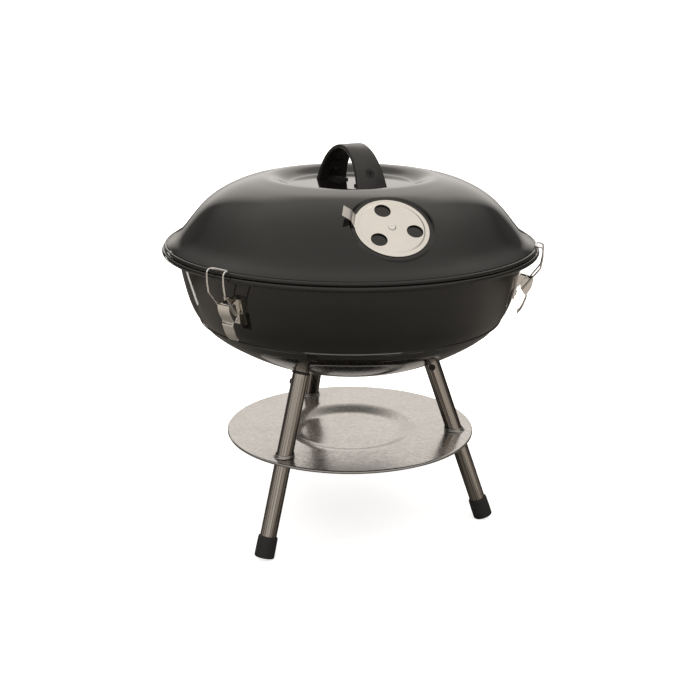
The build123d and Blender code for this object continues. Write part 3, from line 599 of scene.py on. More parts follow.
# ------------------------------------------------------------------ lid
vj = joints["lid_vent_turn"]
vent_o = np.array(vj["pos_m"], float) / MM
vent_n = np.array(vj["axis"], float)
vent_n /= np.linalg.norm(vent_n)
vent_az = math.degrees(math.atan2(vent_o[0], -vent_o[1]))
vent_fr = frame_from(vent_o, vent_n, radial(vent_az + 90, 1, 0))
SEAT_R, FIRST, PITCH = 37.4, 102.0, 20.3


def to_seat(v):
    o, x, y, z = vent_fr
    q = v - o
    return q @ x, q @ y, q @ z


lid_top = L([(0, 345.8), (25, 345.8), (50, 345.8), (57.0, 345.8), (62.0, 346.25), (67.0, 348.4), (72.0, 351.0), (77.5, 352.75), (83.0, 353.1),
             (92.0, 351.7), (104.0, 348.7), (117.4, 343.5), (129.2, 337.3), (139.4, 330.1), (148.2, 321.5), (156.2, 312.0),
             (162.0, 304.7), (165.4, 300.8), (170.4, 296.6), (176.0, 293.0), (179.9, 290.18)])
lid_profile = spline(lid_top, 0.55, (1, 0), (1, -0.75))
lid_profile = lid_profile[lid_profile[:, 0] > 0.3]
coarse = [p for i, p in enumerate(lid_profile) if not (p[0] < 92 * KL or p[0] > 170 * KL) or i % 2 == 0]
lid_profile = np.array(coarse)
near = math.radians(vent_az)
dense = np.radians(np.linspace(-21, 21, 240))
rest = np.radians(np.linspace(21, 339, 300)[1:-1])
theta = np.concatenate([dense, rest]) + near


def sheet_under(points, d):
    p = np.array(points)
    t = np.gradient(p, axis=0)
    t /= np.linalg.norm(t, axis=1)[:, None]
    return p + d * np.stack([t[:, 1], -t[:, 0]], 1)


def lid_sheet(profile, drop, seat_r):
    v, f = revolve(profile, theta)
    x, y, h = to_seat(v)
    rho = np.hypot(x, y)
    s = np.clip((rho - (seat_r - 1.1)) / 2.6, 0, 1)
    s = s * s * (3 - 2 * s)
    close = (rho < seat_r + 4) & (np.abs(h) < 25)
    target = (h + drop) * s - drop
    v = v + np.where(close, target - h, 0)[:, None] * vent_n
    return v, f


hole_c = [(PITCH * math.cos(math.radians(FIRST + 60 + 120 * i)), PITCH * math.sin(math.radians(FIRST + 60 + 120 * i))) for i in range(3)]


def in_vent_holes(pts):
    x, y, h = to_seat(pts)
    hit = np.zeros(len(pts), bool)
    for cx, cy in hole_c:
        hit |= (np.hypot(x - cx, y - cy) < 6.9) & (np.abs(h) < 8)
    return hit


def snap_vent(pts):
    o, ax, ay, az_ = vent_fr
    x, y, h = to_seat(pts)
    nx, ny = x.copy(), y.copy()
    for cx, cy in hole_c:
        d = np.hypot(x - cx, y - cy)
        m = (d < 9) & (d > 1e-6)
        nx[m] = cx + (x[m] - cx) / d[m] * 6.9
        ny[m] = cy + (y[m] - cy) / d[m] * 6.9
    return o + nx[:, None] * ax + ny[:, None] * ay + h[:, None] * az_


v, f = lid_sheet(lid_profile, 0.0, SEAT_R)
pole = len(v)
v, f = drop_inside(v, f, in_vent_holes, snap_vent)
first_ring = [i for i in range(len(theta))]
cap_z = lid_profile[0][1]
v = np.concatenate([v, [(0, 0, cap_z)]])
f = [tuple(q) for q in f] + [(len(v) - 1, j, (j + 1) % len(theta)) for j in first_ring]
lid_ob = mesh("lid_shell", v, f, M["black_enamel"], "lid", "lid")
solidify(lid_ob, 1.15)
bead = arc((179.7 * KL, 288.13 + LZ), 2.1, 0, 360, 25)[:-1]
th_full = np.linspace(0, 2 * math.pi, 720, endpoint=False)
v, f = revolve(bead, th_full, close=True)
mesh("lid_rolled_edge", v, f[:, ::-1], M["black_enamel"], "lid")

# damper: pressed disc with a raised middle
gap = 0.1
prof = round_corners([(2.08, gap + 1.6), (28.4, gap + 1.6), (29.8, gap + 0.8), (33.35, gap + 0.8), (33.6, gap + 0.55)], [0.8, 0.9, 0.15], 5)
fine = [prof[0]]
for a, b in zip(prof[:-1], prof[1:]):
    fine += list(line(a, b, 0.33)[1:])
fine = np.array(fine)
v, f = revolve(fine, np.linspace(0, 2 * math.pi, 300, endpoint=False))
# local frame: x right, y up the slope, z out of the lid
damp_c = [(PITCH * math.cos(math.radians(FIRST + 120 * i)), PITCH * math.sin(math.radians(FIRST + 120 * i))) for i in range(3)]


def in_damper(pts):
    hit = np.zeros(len(pts), bool)
    for cx, cy in damp_c:
        hit |= np.hypot(pts[:, 0] - cx, pts[:, 1] - cy) < 7.4
    return hit


def snap_damper(pts):
    q = pts.copy()
    for cx, cy in damp_c:
        d = np.hypot(pts[:, 0] - cx, pts[:, 1] - cy)
        m = (d < 9) & (d > 1e-6)
        q[m, 0] = cx + (pts[m, 0] - cx) / d[m] * 7.4
        q[m, 1] = cy + (pts[m, 1] - cy) / d[m] * 7.4
    return q


v, f = drop_inside(v, f, in_damper, snap_damper)
disc = mesh("damper_disc", place(v, vent_fr), f, M["plated_steel"], "lid_vent", "lid_damper")
solidify(disc, 0.78)
bevel(disc, 0.12, 2, 50)
tab_az = math.radians(161.5)
path = spline([(30.5, gap + 0.8), (33.3, gap + 0.85), (34.7, gap + 2.2), (36.9, gap + 5.5), (40.6, gap + 7.9), (45.3, gap + 10.1)], 0.4)
tv = []
nt_ = 17
for i, (r, h) in enumerate(path):
    u = i / (len(path) - 1)
    half = 6.2 + 2.6 * math.exp(-((r - 31.5) / 2.2) ** 2 * 0.9)
    for k in range(nt_):
        t = (k / (nt_ - 1) * 2 - 1)
        tv.append((r * math.cos(tab_az) - t * half * math.sin(tab_az), r * math.sin(tab_az) + t * half * math.cos(tab_az), h))
tf = grid_faces(len(path), nt_, False)
tab = mesh("damper_tab", place(tv, vent_fr), tf, M["plated_steel"], "lid_vent")
solidify(tab, 0.72, 0.0)
bevel(tab, 0.15, 2, 50)

rv = [(0, 2.55), (0.9, 2.62), (1.15, 2.95), (1.5, 3.08), (2.2, 2.98), (2.9, 2.7), (3.4, 2.3), (3.6, 1.95), (3.6, 1.76), (2.0, 1.76)]
v, f = lathe(rv, vent_fr, 48)
mesh("damper_rivet_head", v, f, M["plated_rivet"], "lid", auto=40)
v, f = lathe([(2.0, 1.9), (2.0, -1.25), (3.0, -1.25), (2.9, -2.3), (0, -2.45)], vent_fr, 40)
mesh("damper_rivet_shank", v, f, M["plated_rivet"], "lid", "lid_damper_rivet", auto=40)

# ------------------------------------------------------------------ handle
hb_lo, hb_hi = span("lid_handle")
h_az = 7.56
top_z, foot_z = hb_hi[2], lid_hi[2] - 7.32
half_arch = [(0.0, top_z), (10.5, top_z - 1.9), (20.5, top_z - 7.4), (29.0, top_z - 16.0), (35.2, top_z - 26.4), (39.6, foot_z)]
arch = [(-x, z) for x, z in half_arch[::-1]] + half_arch[1:]
outer = spline(arch, 1.2)
tan = np.gradient(outer, axis=0)
tan /= np.linalg.norm(tan, axis=1)[:, None]
nrm = np.stack([-tan[:, 1], tan[:, 0]], 1)
ts, cr = 4.6, 1.5
hv = []
sec = []
for cx, cy, a0 in ((-1, 0, 90), (-1, -1, 180), (1, -1, 270), (1, 0, 0)):
    for k in range(5):
        sec.append((cx, cy, math.radians(a0 + 22.5 * k if True else 0)))
for i, (p, t, n_) in enumerate(zip(outer, tan, nrm)):
    w = np.interp(p[1], [foot_z, top_z], [16.5, 12.25])
    for cx, cy, a in sec:
        wx = cx * (w - cr) + cr * math.cos(a)
        hn = (-cr if cy == 0 else -ts + cr) + cr * math.sin(a)
        q = p + n_ * hn
        hv.append((q[0], wx, q[1]))
hv = np.array(hv)
ns = len(sec)
for ring in (0, len(outer) - 1):
    s_ = slice(ring * ns, ring * ns + ns)
    t = tan[ring]
    dz = foot_z - hv[s_, 2]
    hv[s_, 0] += dz / t[1] * t[0]
    hv[s_, 2] = foot_z
ar = math.radians(h_az)
e1 = np.array([math.sin(ar), -math.cos(ar), 0])
e2 = np.array([math.cos(ar), math.sin(ar), 0])
hw = hv[:, :1] * e1 + hv[:, 1:2] * e2 + hv[:, 2:] * np.array([0, 0, 1.0])
hf = [tuple(q) for q in grid_faces(len(outer), ns)]
hf.append(tuple(range(ns)))
hf.append(tuple(range((len(outer) - 1) * ns, len(outer) * ns))[::-1])
handle = mesh("handle_strap", hw, hf, M["black_plastic"], "lid", "lid_handle", auto=50)
stl = math.radians(25)
for side, tag in ((1, "a"), (-1, "b")):
    ax = e1 * side * math.cos(stl) + np.array([0, 0, math.sin(stl)])
    o = e1 * side * 34.2 + np.array([0, 0, 359.3 + (top_z - 383.6)])
    fr = frame_from(o, ax, e2)
    v, f = lathe([(0, -1.9), (4.5, -1.9), (4.5, 9), (0, 9)], fr, 56)
    cut = mesh("recess_tool_" + tag, v, f, M["black_plastic"], None)
    v, f = lathe([(0, -12), (2.55, -12), (2.55, 2), (0, 2)], fr, 32)
    cut2 = mesh("bore_tool_" + tag, v, f, M["black_plastic"], None)
    for c in (cut, cut2):
        bm_ = handle.modifiers.new("recess", "BOOLEAN")
        bm_.operation = "DIFFERENCE"
        bm_.solver = "EXACT"
        bm_.object = c
handle_tools = [o for o in bpy.data.objects if "_tool_" in o.name]
# the recesses become part of the strap's mesh
bpy.context.view_layer.update()
dg = bpy.context.evaluated_depsgraph_get()
baked = bpy.data.meshes.new_from_object(handle.evaluated_get(dg))
baked.materials.clear()
baked.materials.append(M["black_plastic"])
handle.modifiers.clear()
handle.data = baked
for o in handle_tools:
    bpy.data.objects.remove(o)
handle.data.polygons.foreach_set("use_smooth", [True] * len(handle.data.polygons))
handle.data.set_sharp_from_angle(angle=math.radians(38))
bevel(handle, 0.4, 3, 45)

# ------------------------------------------------------------------ bowl
bowl_in = B([(0, 167.2), (20, 167.2), (43.9, 167.2), (55.8, 168.8), (67.7, 171.2), (79.6, 174.75), (91.5, 179.3), (103.4, 184.95), (115.4, 191.4),
             (126.35, 198.0), (135.2, 204.1), (139.7, 208.0)])
wall_in = B([(140.7, 208.5), (146.7, 215.4), (151.6, 222.3), (155.9, 230.7), (159.25, 240.35), (162.0, 250.9), (164.2, 260.8), (165.6, 270.1), (166.0, 279.0)])
lower = spline(bowl_in, 1.1, (1, 0))
upper = spline(wall_in, 1.2)
flange = B(round_corners([(166.0, 279.0), (166.15, 284.2), (181.6, 284.6)], [3.0], 8))
bowl_profile = chain(lower[lower[:, 0] > 0.3], upper, flange)
# finer rings where the bottom holes are
extra = []
for a, b in zip(bowl_profile[:-1], bowl_profile[1:]):
    extra += list(line(a, b, 0.45 if a[0] < 32 else 2.0)[:-1])
extra.append(bowl_profile[-1])
bowl_profile = np.array(extra)
# shallow pressed bead round the lower wall
CREASE = np.array(B([(148.0, 217.4)])[0])
fine = []
for a, b in zip(bowl_profile[:-1], bowl_profile[1:]):
    fine += list(line(a, b, 0.13 if np.linalg.norm((a + b) / 2 - CREASE) < 2.2 else 2.0)[:-1])
fine.append(bowl_profile[-1])
bowl_profile = np.array(fine)
tan = np.gradient(bowl_profile, axis=0)
tan /= np.linalg.norm(tan, axis=1)[:, None]
off = (bowl_profile - CREASE)
along_ = (off * tan).sum(1)
near_ = np.linalg.norm(off, axis=1) < 4.0
bowl_profile = bowl_profile + np.where(near_, 1.05 * np.exp(-(along_ / 0.68) ** 2), 0)[:, None] * np.stack([tan[:, 1], -tan[:, 0]], 1)
th_bowl = np.linspace(0, 2 * math.pi, 480, endpoint=False)
v, f = revolve(bowl_profile, th_bowl)
bot_c = [(20.0 * math.cos(math.radians(30 + 120 * i)), 20.0 * math.sin(math.radians(30 + 120 * i))) for i in range(3)]


def in_bottom(pts):
    hit = np.zeros(len(pts), bool)
    for cx, cy in bot_c:
        hit |= (np.hypot(pts[:, 0] - cx, pts[:, 1] - cy) < 7.0) & (pts[:, 2] < bowl_lo[2] + 4)
    return hit


def snap_bottom(pts):
    q = pts.copy()
    for cx, cy in bot_c:
        d = np.hypot(pts[:, 0] - cx, pts[:, 1] - cy)
        m = (d < 9) & (d > 1e-6)
        q[m, 0] = cx + (pts[m, 0] - cx) / d[m] * 7.0
        q[m, 1] = cy + (pts[m, 1] - cy) / d[m] * 7.0
    return q


v, f = drop_inside(v, f, in_bottom, snap_bottom)
v = np.concatenate([v, [(0, 0, bowl_profile[0][1])]])
f = [tuple(q) for q in f] + [(len(v) - 1, j, (j + 1) % len(th_bowl)) for j in range(len(th_bowl))]
bowl_ob = mesh("bowl_shell", v, f, M["black_enamel"], "stand_and_bowl", "bowl", auto=13)
solidify(bowl_ob, 1.2)
bead = arc((181.6 * KB, 284.0 + BZ), 2.4, 0, 360, 27)[:-1]
v, f = revolve(bead, th_full, close=True)
mesh("bowl_rolled_edge", v, f[:, ::-1], M["black_enamel"], "stand_and_bowl")

# bottom damper
b0 = bowl_lo[2] - 0.1
v, f = revolve(round_corners([(2.6, b0 - 1.6), (27.4, b0 - 1.6), (28.4, b0 - 0.8), (31.8, b0 - 0.8), (32.0, b0 - 0.6)], [0.8, 0.8, 0.1], 4), np.linspace(0, 2 * math.pi, 200, endpoint=False))
prof = round_corners([(2.6, b0 - 1.6), (27.2, b0 - 1.6), (28.5, b0 - 0.8), (31.8, b0 - 0.8), (32.0, b0 - 0.6)], [0.8, 0.8, 0.1], 4)
fine = [prof[0]]
for a, b in zip(prof[:-1], prof[1:]):
    fine += list(line(a, b, 0.45)[1:])
v, f = revolve(np.array(fine), np.linspace(0, 2 * math.pi, 260, endpoint=False))
bd_c = [(20.0 * math.cos(math.radians(90 + 120 * i)), 20.0 * math.sin(math.radians(90 + 120 * i))) for i in range(3)]


def in_bd(pts):
    hit = np.zeros(len(pts), bool)
    for cx, cy in bd_c:
        hit |= np.hypot(pts[:, 0] - cx, pts[:, 1] - cy) < 7.5
    return hit


def snap_bd(pts):
    q = pts.copy()
    for cx, cy in bd_c:
        d = np.hypot(pts[:, 0] - cx, pts[:, 1] - cy)
        m = (d < 9) & (d > 1e-6)
        q[m, 0] = cx + (pts[m, 0] - cx) / d[m] * 7.5
        q[m, 1] = cy + (pts[m, 1] - cy) / d[m] * 7.5
    return q


v, f = drop_inside(v, f, in_bd, snap_bd)
bd = mesh("bottom_damper_disc", v, f[:, ::-1], M["plated_steel"], "bottom_vent", "bowl_damper")
solidify(bd, 0.78)
bevel(bd, 0.12, 2, 50)
bd_lo, bd_hi = span("bowl_damper")
path = spline([(29.6, b0 - 0.85), (33.0, b0 - 0.9), (35.2, b0 - 2.1), (44.6, b0 - 7.9)], 0.5)
tv = [(r, (k / 12 * 2 - 1) * (6.2 + 2.2 * math.exp(-((r - 30.5) / 2.2) ** 2)), z) for r, z in path for k in range(13)]
tb = mesh("bottom_damper_tab", tv, grid_faces(len(path), 13, False), M["plated_steel"], "bottom_vent")
solidify(tb, 0.72, 0.0)
bevel(tb, 0.15, 2, 50)

# ------------------------------------------------------------------ legs and feet
leg_az = (-60.0, 60.0, 180.0)
slope = 0.348
ll = math.sqrt(1 + slope * slope)
for i, az in enumerate(leg_az, 1):
    lo_, hi_ = span(f"leg_{i}")
    a = math.radians(az)
    up = np.array([-slope * math.sin(a), slope * math.cos(a), 1.0]) / ll
    side = np.array([math.cos(a), math.sin(a), 0])
    o = radial(az, 140.2, 0)
    fr = frame_from(o, up, side)
    s0, s1 = 1.7 * ll + 3.02, 171.9 * ll
    segs = 200
    ang = np.linspace(0, 2 * math.pi, segs, endpoint=False)
    # the welded seam faces outwards, a little to one side
    seam = math.atan2(float(np.dot(-radial(az, 1, 0), fr[2])) * -1, float(np.dot(-radial(az, 1, 0), fr[1])) * -1) + {1: 0.62, 2: 0.35, 3: 1.9}[i]
    dd = (ang - seam + math.pi) % (2 * math.pi) - math.pi
    rad = 8.0 - 0.16 * np.exp(-(dd * 8.0 / 0.32) ** 2)
    stations = np.concatenate([[s0], np.linspace(s0 + 0.4, s1 - 0.5, 40), [s1 - 0.22, s1]])
    vv = []
    for k, s in enumerate(stations):
        rr = rad - (0.22 if k in (0, len(stations) - 1) else (0.06 if k == len(stations) - 2 else 0))
        vv.append(np.stack([rr * np.cos(ang), rr * np.sin(ang), np.full(segs, s)], 1))
    for k, s in enumerate(stations[::-1][:: len(stations) // 3]):
        vv.append(np.stack([7.2 * np.cos(ang), 7.2 * np.sin(ang), np.full(segs, s)], 1))
    n_out = len(stations)
    n_in = len(vv) - n_out
    vv = np.concatenate(vv)
    ff = grid_faces(n_out + n_in, segs, True, True)
    leg = mesh(f"leg_tube_{i}", place(vv, fr), ff, M["tube_steel"], "stand_and_bowl", f"leg_{i}", auto=40)
    uvl = leg.data.uv_layers.new(name="UVMap")
    coords_ = np.zeros(len(leg.data.loops) * 2)
    li = np.zeros(len(leg.data.loops), int)
    leg.data.loops.foreach_get("vertex_index", li)
    uu = (li % segs) / segs
    vvv = vv[li, 2] / 180.0
    # keep the wrap-around faces continuous
    uu = uu.reshape(-1, 4)
    wrap = (uu.max(1) - uu.min(1)) > 0.5
    uu[wrap] = np.where(uu[wrap] < 0.5, uu[wrap] + 1, uu[wrap])
    coords_[0::2] = uu.reshape(-1)
    coords_[1::2] = vvv
    uvl.data.foreach_set("uv", coords_)

    cap = [(0, 1.7 * ll), (8.4, 1.7 * ll), (9.05, 1.7 * ll + 0.25), (9.5, 1.7 * ll + 0.7), (9.7, 1.7 * ll + 1.4), (9.72, 1.7 * ll + 8), (9.62, 1.7 * ll + 15),
           (9.55, 1.7 * ll + 19.4), (9.35, 1.7 * ll + 20.4), (8.9, 1.7 * ll + 20.95), (8.3, 1.7 * ll + 21.0), (8.04, 1.7 * ll + 20.7), (8.04, 1.7 * ll + 3.0), (0, 1.7 * ll + 3.0)]
    dense_cap = [cap[0]]
    for p, q in zip(cap[:-1], cap[1:]):
        dense_cap += list(map(tuple, line(p, q, 1.2)[1:]))
    v, f = lathe(dense_cap, fr, 96)
    v[:, 2] = np.maximum(v[:, 2], 0.0)
    mesh(f"foot_boot_{i}", v, f, M["black_rubber"], "stand_and_bowl", f"foot_cap_{i}", auto=50)

# ------------------------------------------------------------------ ash plate
PZ = plate_hi[2] - 98.5
plate_prof = [(0, 89.5), (20, 89.5), (46.5, 89.5), (50.5, 89.8), (56, 91.3), (62, 93.35), (67.5, 94.95), (72, 95.45), (76, 95.5), (90, 95.5), (122.6, 95.5)]
plate_prof = [(x, z + PZ) for x, z in plate_prof]
pp = spline(plate_prof, 1.0, (1, 0), (1, 0))
hem = arc((124.05, 94.15 + PZ), 1.35, 88, -190, 16)
pp = chain(pp[pp[:, 0] > 0.3], hem)
th_p = np.linspace(0, 2 * math.pi, 720, endpoint=False)
v, f = revolve(pp, th_p)
# very slightly uneven sheet
wob = 0.12 * np.sin(3 * np.arctan2(v[:, 1], v[:, 0]) + 0.7) * (np.hypot(v[:, 0], v[:, 1]) / 125) ** 2 + 0.05 * np.sin(7 * np.arctan2(v[:, 1], v[:, 0]))
v[:, 2] += wob * (np.hypot(v[:, 0], v[:, 1]) > 75)
HX = 9.9


def leg_local(pts):
    out = []
    for az in leg_az:
        e = radial(az, 1, 0)
        s_ = np.array([math.cos(math.radians(az)), math.sin(math.radians(az)), 0])
        c = 140.2 - slope * pts[:, 2]
        out.append(((pts @ e - c) / ll, pts @ s_, e, s_, c))
    return out


def in_plate(pts):
    hit = np.zeros(len(pts), bool)
    for u, w, *_ in leg_local(pts):
        hit |= np.hypot(u, w) < HX
    return hit


def snap_plate(pts):
    q = pts.copy()
    for u, w, e, s_, c in leg_local(pts):
        d = np.hypot(u, w)
        m = (d < 12.5) & (d > 1e-6)
        nu, nw = u[m] / d[m] * HX, w[m] / d[m] * HX
        q[m, :2] = ((c[m] + nu * ll)[:, None] * e + nw[:, None] * s_)[:, :2]
    return q


v, f = drop_inside(v, f, in_plate, snap_plate)
v = np.concatenate([v, [(0, 0, pp[0][1])]])
f = [tuple(q) for q in f] + [(len(v) - 1, j, (j + 1) % len(th_p)) for j in range(len(th_p))]
plate = mesh("ash_plate_sheet", v, f, M["galvanised_steel"], "stand_and_bowl", "ash_plate")
solidify(plate, 0.75)
zt = 95.5 + PZ
collar_prof = [(HX + 0.05, zt - 0.02), (9.5, zt + 0.15), (9.2, zt + 0.55), (9.12, zt + 1.2), (9.1, zt + 2.5), (9.0, zt + 2.85), (8.75, zt + 3.0), (8.5, zt + 2.85),
               (8.42, zt + 2.4), (8.4, zt), (8.5, zt - 0.7), (HX + 0.05, zt - 0.72)]
for i, az in enumerate(leg_az, 1):
    e = radial(az, 1, 0)
    s_ = np.array([math.cos(math.radians(az)), math.sin(math.radians(az)), 0])
    ang = np.linspace(0, 2 * math.pi, 96, endpoint=False)
    vv = []
    for d, z in collar_prof:
        c = 140.2 - slope * z
        vv.append((c + d * ll * np.cos(ang))[:, None] * e + (d * np.sin(ang))[:, None] * s_ + np.array([0, 0, z]))
    vv = np.concatenate(vv)
    ff = grid_faces(len(collar_prof), 96)
    mesh(f"plate_collar_{i}", vv, ff, M["galvanised_steel"], "stand_and_bowl", auto=60)

# ------------------------------------------------------------------ grates
g_lo, g_hi = span("cooking_grate")
gz = g_lo[2] + 2.6
ring_r = (g_hi[0] - g_lo[0]) / 2 - 2.6
parts = [tube([radial(a, ring_r, gz) for a in np.linspace(0, 360, 241)[:-1]], 2.6, 16, closed=True)]
n = int((159.0 - 4) // 14.5)
for i in range(-n, n + 1):
    x = i * 14.5
    h = math.sqrt((ring_r - 0.2) ** 2 - x * x)
    parts.append(tube([(x, y, gz + 1.6) for y in np.linspace(-h, h, 12)], 1.75, 14))
for y in (-50.0, 50.0):
    h = math.sqrt((ring_r - 0.2) ** 2 - y * y)
    parts.append(tube([(x, y, gz - 0.5) for x in np.linspace(-h, h, 12)], 2.0, 14))
v, f = join(parts)
mesh("cooking_grate_wires", v, f, M["chrome_wire"], "cooking_grate", "cooking_grate", auto=50)
c_lo, c_hi = span("charcoal_grate")
cz = c_hi[2] - 3.1
cr_ = (c_hi[0] - c_lo[0]) / 2 - 2.5
parts = [tube([radial(a, cr_, cz) for a in np.linspace(0, 360, 201)[:-1]], 2.5, 14, closed=True)]
n = int((133.4 - 6) // 19.0)
for i in range(-n, n + 1):
    x = i * 19.0
    h = math.sqrt((cr_ - 0.2) ** 2 - x * x)
    parts.append(tube([(x, y, cz + 0.6) for y in np.linspace(-h, h, 10)], 2.5, 14))
parts.append(tube([(x, 0, cz - 2.2) for x in np.linspace(-cr_ + 3.2, cr_ - 3.2, 12)], 2.2, 14))
v, f = join(parts)
mesh("charcoal_grate_wires", v, f, M["black_wire"], "charcoal_grate", "charcoal_grate", auto=50)

# ------------------------------------------------------------------ latches
lever_web = [(179.2, 259.2), (178.9, 254.8), (177.0, 249.0), (173.8, 243.6), (173.2, 241.8), (173.5, 240.2), (172.9, 237.6),
             (171.0, 232.4), (168.8, 228.0), (166.9, 225.4), (165.6, 224.0)]
for i in (1, 2, 3):
    jl = joints[f"latch_{i}_lever_swing"]
    jb = joints[f"latch_{i}_bail_swing"]
    P = np.array(jl["pos_m"]) / MM
    Q = np.array(jb["pos_m"]) / MM
    az = math.degrees(math.atan2(P[0], -P[1]))
    dr, dzz = math.hypot(P[0], P[1]) - 172.5, P[2] - 257.5
    # bail
    side_t, wide_t, end_t = 8.15, 10.0, 5.4
    qr, qz = math.hypot(Q[0], Q[1]), Q[2]
    run = [(qr, qz, end_t), (qr, qz, side_t), (185.6 + dr, 270.6 + dzz, wide_t), (187.2 + dr, 280.5 + dzz, wide_t), (187.2 + dr, 291.3 + dzz, wide_t), (180.3 + dr, 291.35 + dzz, wide_t)]
    pts = [radial(az, r, z, t) for r, z, t in run] + [radial(az, r, z, -t) for r, z, t in run[::-1]]
    path = round_corners(pts, [1.3, 4.0, 6.0, 3.4, 3.0, 3.0, 3.4, 6.0, 4.0, 1.3], 9)
    v, f = tube(path, 0.9, 18, round_end=0.5)
    mesh(f"latch_wire_{i}", v, f, M["latch_wire"], f"latch_{i}_bail", f"latch_bail_{i}", auto=60)
    # lever: one folded sheet, deep sides at the pivot, flat curled tongue
    web = spline([(r + dr, z + dzz) for r, z in lever_web], 0.45)
    t2 = np.gradient(web, axis=0)
    t2 /= np.linalg.norm(t2, axis=1)[:, None]
    inn = np.stack([t2[:, 1], -t2[:, 0]], 1)
    if inn[0][0] > 0:
        inn = -inn
    sl = np.concatenate([[0], np.cumsum(np.linalg.norm(np.diff(web, axis=0), axis=1))])
    tot = sl[-1]
    vv = []
    nc = 41
    for k, (p, nn, s_) in enumerate(zip(web, inn, sl)):
        depth = float(np.interp(s_, [0, 2, 5, 10.5, 14.5, 16.5, 18, 19.5, tot], [9.0, 9.8, 10.8, 11.0, 9.4, 5.6, 1.4, 0.5, 0.35]))
        half = 6.95 if s_ < 18 else float(np.interp(s_, [18, 22, tot - 7], [6.95, 6.7, 6.5]))
        if s_ > tot - 6.4:
            q = (s_ - (tot - 6.4)) / 6.4
            half = 3.0 + 3.5 * math.sqrt(max(0.0, 1 - q ** 2.4))
            depth = 0.35 * (1 - q)
        bend = min(1.1, max(0.15, depth * 0.5))
        # cross-section from one side wall's edge over the web to the other
        cs = round_corners([(-half, depth), (-half, 0.0), (half, 0.0), (half, depth)], [min(bend, half * 0.45)] * 2, 5)
        d = np.linalg.norm(np.diff(cs, axis=0), axis=1)
        tt = np.concatenate([[0], np.cumsum(d)])
        # keep points on the bends
        u1 = np.linspace(0, tt[1], 9)[:-1]
        u2 = tt[1:7]
        u3 = np.linspace(tt[6], tt[7], 14)[1:-1]
        u4 = tt[7:13]
        u5 = np.linspace(tt[12], tt[13], 9)[1:]
        us = np.concatenate([u1, u2, u3, u4, u5])
        xx = np.interp(us, tt, cs[:, 0])
        yy = np.interp(us, tt, cs[:, 1])
        for x, y in zip(xx, yy):
            crown = 0.35 * (1 - (x / max(half, 0.3)) ** 2) if s_ > 19 else 0.0
            w = p + nn * (y - crown)
            vv.append(radial(az, w[0], w[1], x))
    nc = len(us)
    ff = grid_faces(len(web), nc, False)
    lever = mesh(f"latch_lever_sheet_{i}", vv, ff, M["latch_chrome"], f"latch_{i}_lever", f"latch_lever_{i}")
    # make outward faces look outwards
    nrm0 = lever.data.polygons[len(ff) // 3 + nc // 2].normal
    mid_face = lever.data.polygons[(nc - 1) * 8 + nc // 2]
    if np.dot(np.array(mid_face.normal), radial(az, 1, 0)) < 0:
        lever.data.flip_normals()
    solidify(lever, 1.05).use_even_offset = False
    bevel(lever, 0.2, 2, 50)

# ------------------------------------------------------------------ floor, light, camera
CAM_AZ = -23.94


def math_(t, op, a, b=None):
    n = t.nodes.new("ShaderNodeMath")
    n.operation = op
    for k, v in enumerate((a, b)):
        if v is None:
            continue
        if isinstance(v, bpy.types.NodeSocket):
            t.links.new(v, n.inputs[k])
        else:
            n.inputs[k].default_value = v
    return n.outputs[0]


def floor_material():
    """Pale sweep. Seen in straight reflections its colour carries painted shade: dark close under the object, lighter
    further out, and dark again out on the side away from the camera, as if black flags stood round the table.
    """
    m, t, b = nt("pale_floor")
    v = coords(t)
    cloud = noise(t, v, 3.0, 4.0)
    fine = noise(t, v, 260.0, 3.0)
    pale = ramp(t, cloud, [(0.3, (0.90, 0.90, 0.895)), (0.7, (0.94, 0.94, 0.937))])
    t.links.new(remap(t, fine, 0.75, 0.9), b.inputs["Roughness"])
    b.inputs["Specular IOR Level"].default_value = 0.1
    sep = t.nodes.new("ShaderNodeSeparateXYZ")
    t.links.new(v, sep.inputs["Vector"])
    r = math_(t, "SQRT", math_(t, "ADD", math_(t, "MULTIPLY", sep.outputs["X"], sep.outputs["X"]), math_(t, "MULTIPLY", sep.outputs["Y"], sep.outputs["Y"])))
    # painted shade for straight reflections only: the floor's colour is darkened close under the object, then darkened
    # again out on the side away from the camera
    reflected_shade = ramp(t, r, FLOOR_REFLECTED_SHADE)
    away = math_(t, "ADD", math_(t, "MULTIPLY", sep.outputs["X"], -math.sin(math.radians(CAM_AZ))), math_(t, "MULTIPLY", sep.outputs["Y"], math.cos(math.radians(CAM_AZ))))
    reflected_shade = mix(t, 1.0, reflected_shade, ramp(t, away, [(0.10, (1, 1, 1)), (0.45, (0.22, 0.21, 0.20))]), "MULTIPLY")
    lp = t.nodes.new("ShaderNodeLightPath")
    col = mix(t, lp.outputs["Is Glossy Ray"], pale, mix(t, 1.0, pale, reflected_shade, "MULTIPLY"))
    t.links.new(col, b.inputs["Base Color"])
    bump(t, b, fine, 0.08, 0.0002)
    # painted light: the camera sees the sweep as a little brighter than its lighting makes it, through an added glow
    # that is weaker close to the object and stronger far out
    em = t.nodes.new("ShaderNodeEmission")
    t.links.new(ramp(t, math_(t, "MULTIPLY", r, 1.0), FLOOR_GLOW), em.inputs["Color"])
    em.inputs["Strength"].default_value = 1.0
    add = t.nodes.new("ShaderNodeAddShader")
    t.links.new(b.outputs["BSDF"], add.inputs[0])
    t.links.new(em.outputs["Emission"], add.inputs[1])
    mx = t.nodes.new("ShaderNodeMixShader")
    t.links.new(lp.outputs["Is Camera Ray"], mx.inputs[0])
    t.links.new(b.outputs["BSDF"], mx.inputs[1])
    t.links.new(add.outputs["Shader"], mx.inputs[2])
    out = [n for n in t.nodes if n.bl_idname == "ShaderNodeOutputMaterial"][0]
    t.links.new(mx.outputs["Shader"], out.inputs["Surface"])
    return m
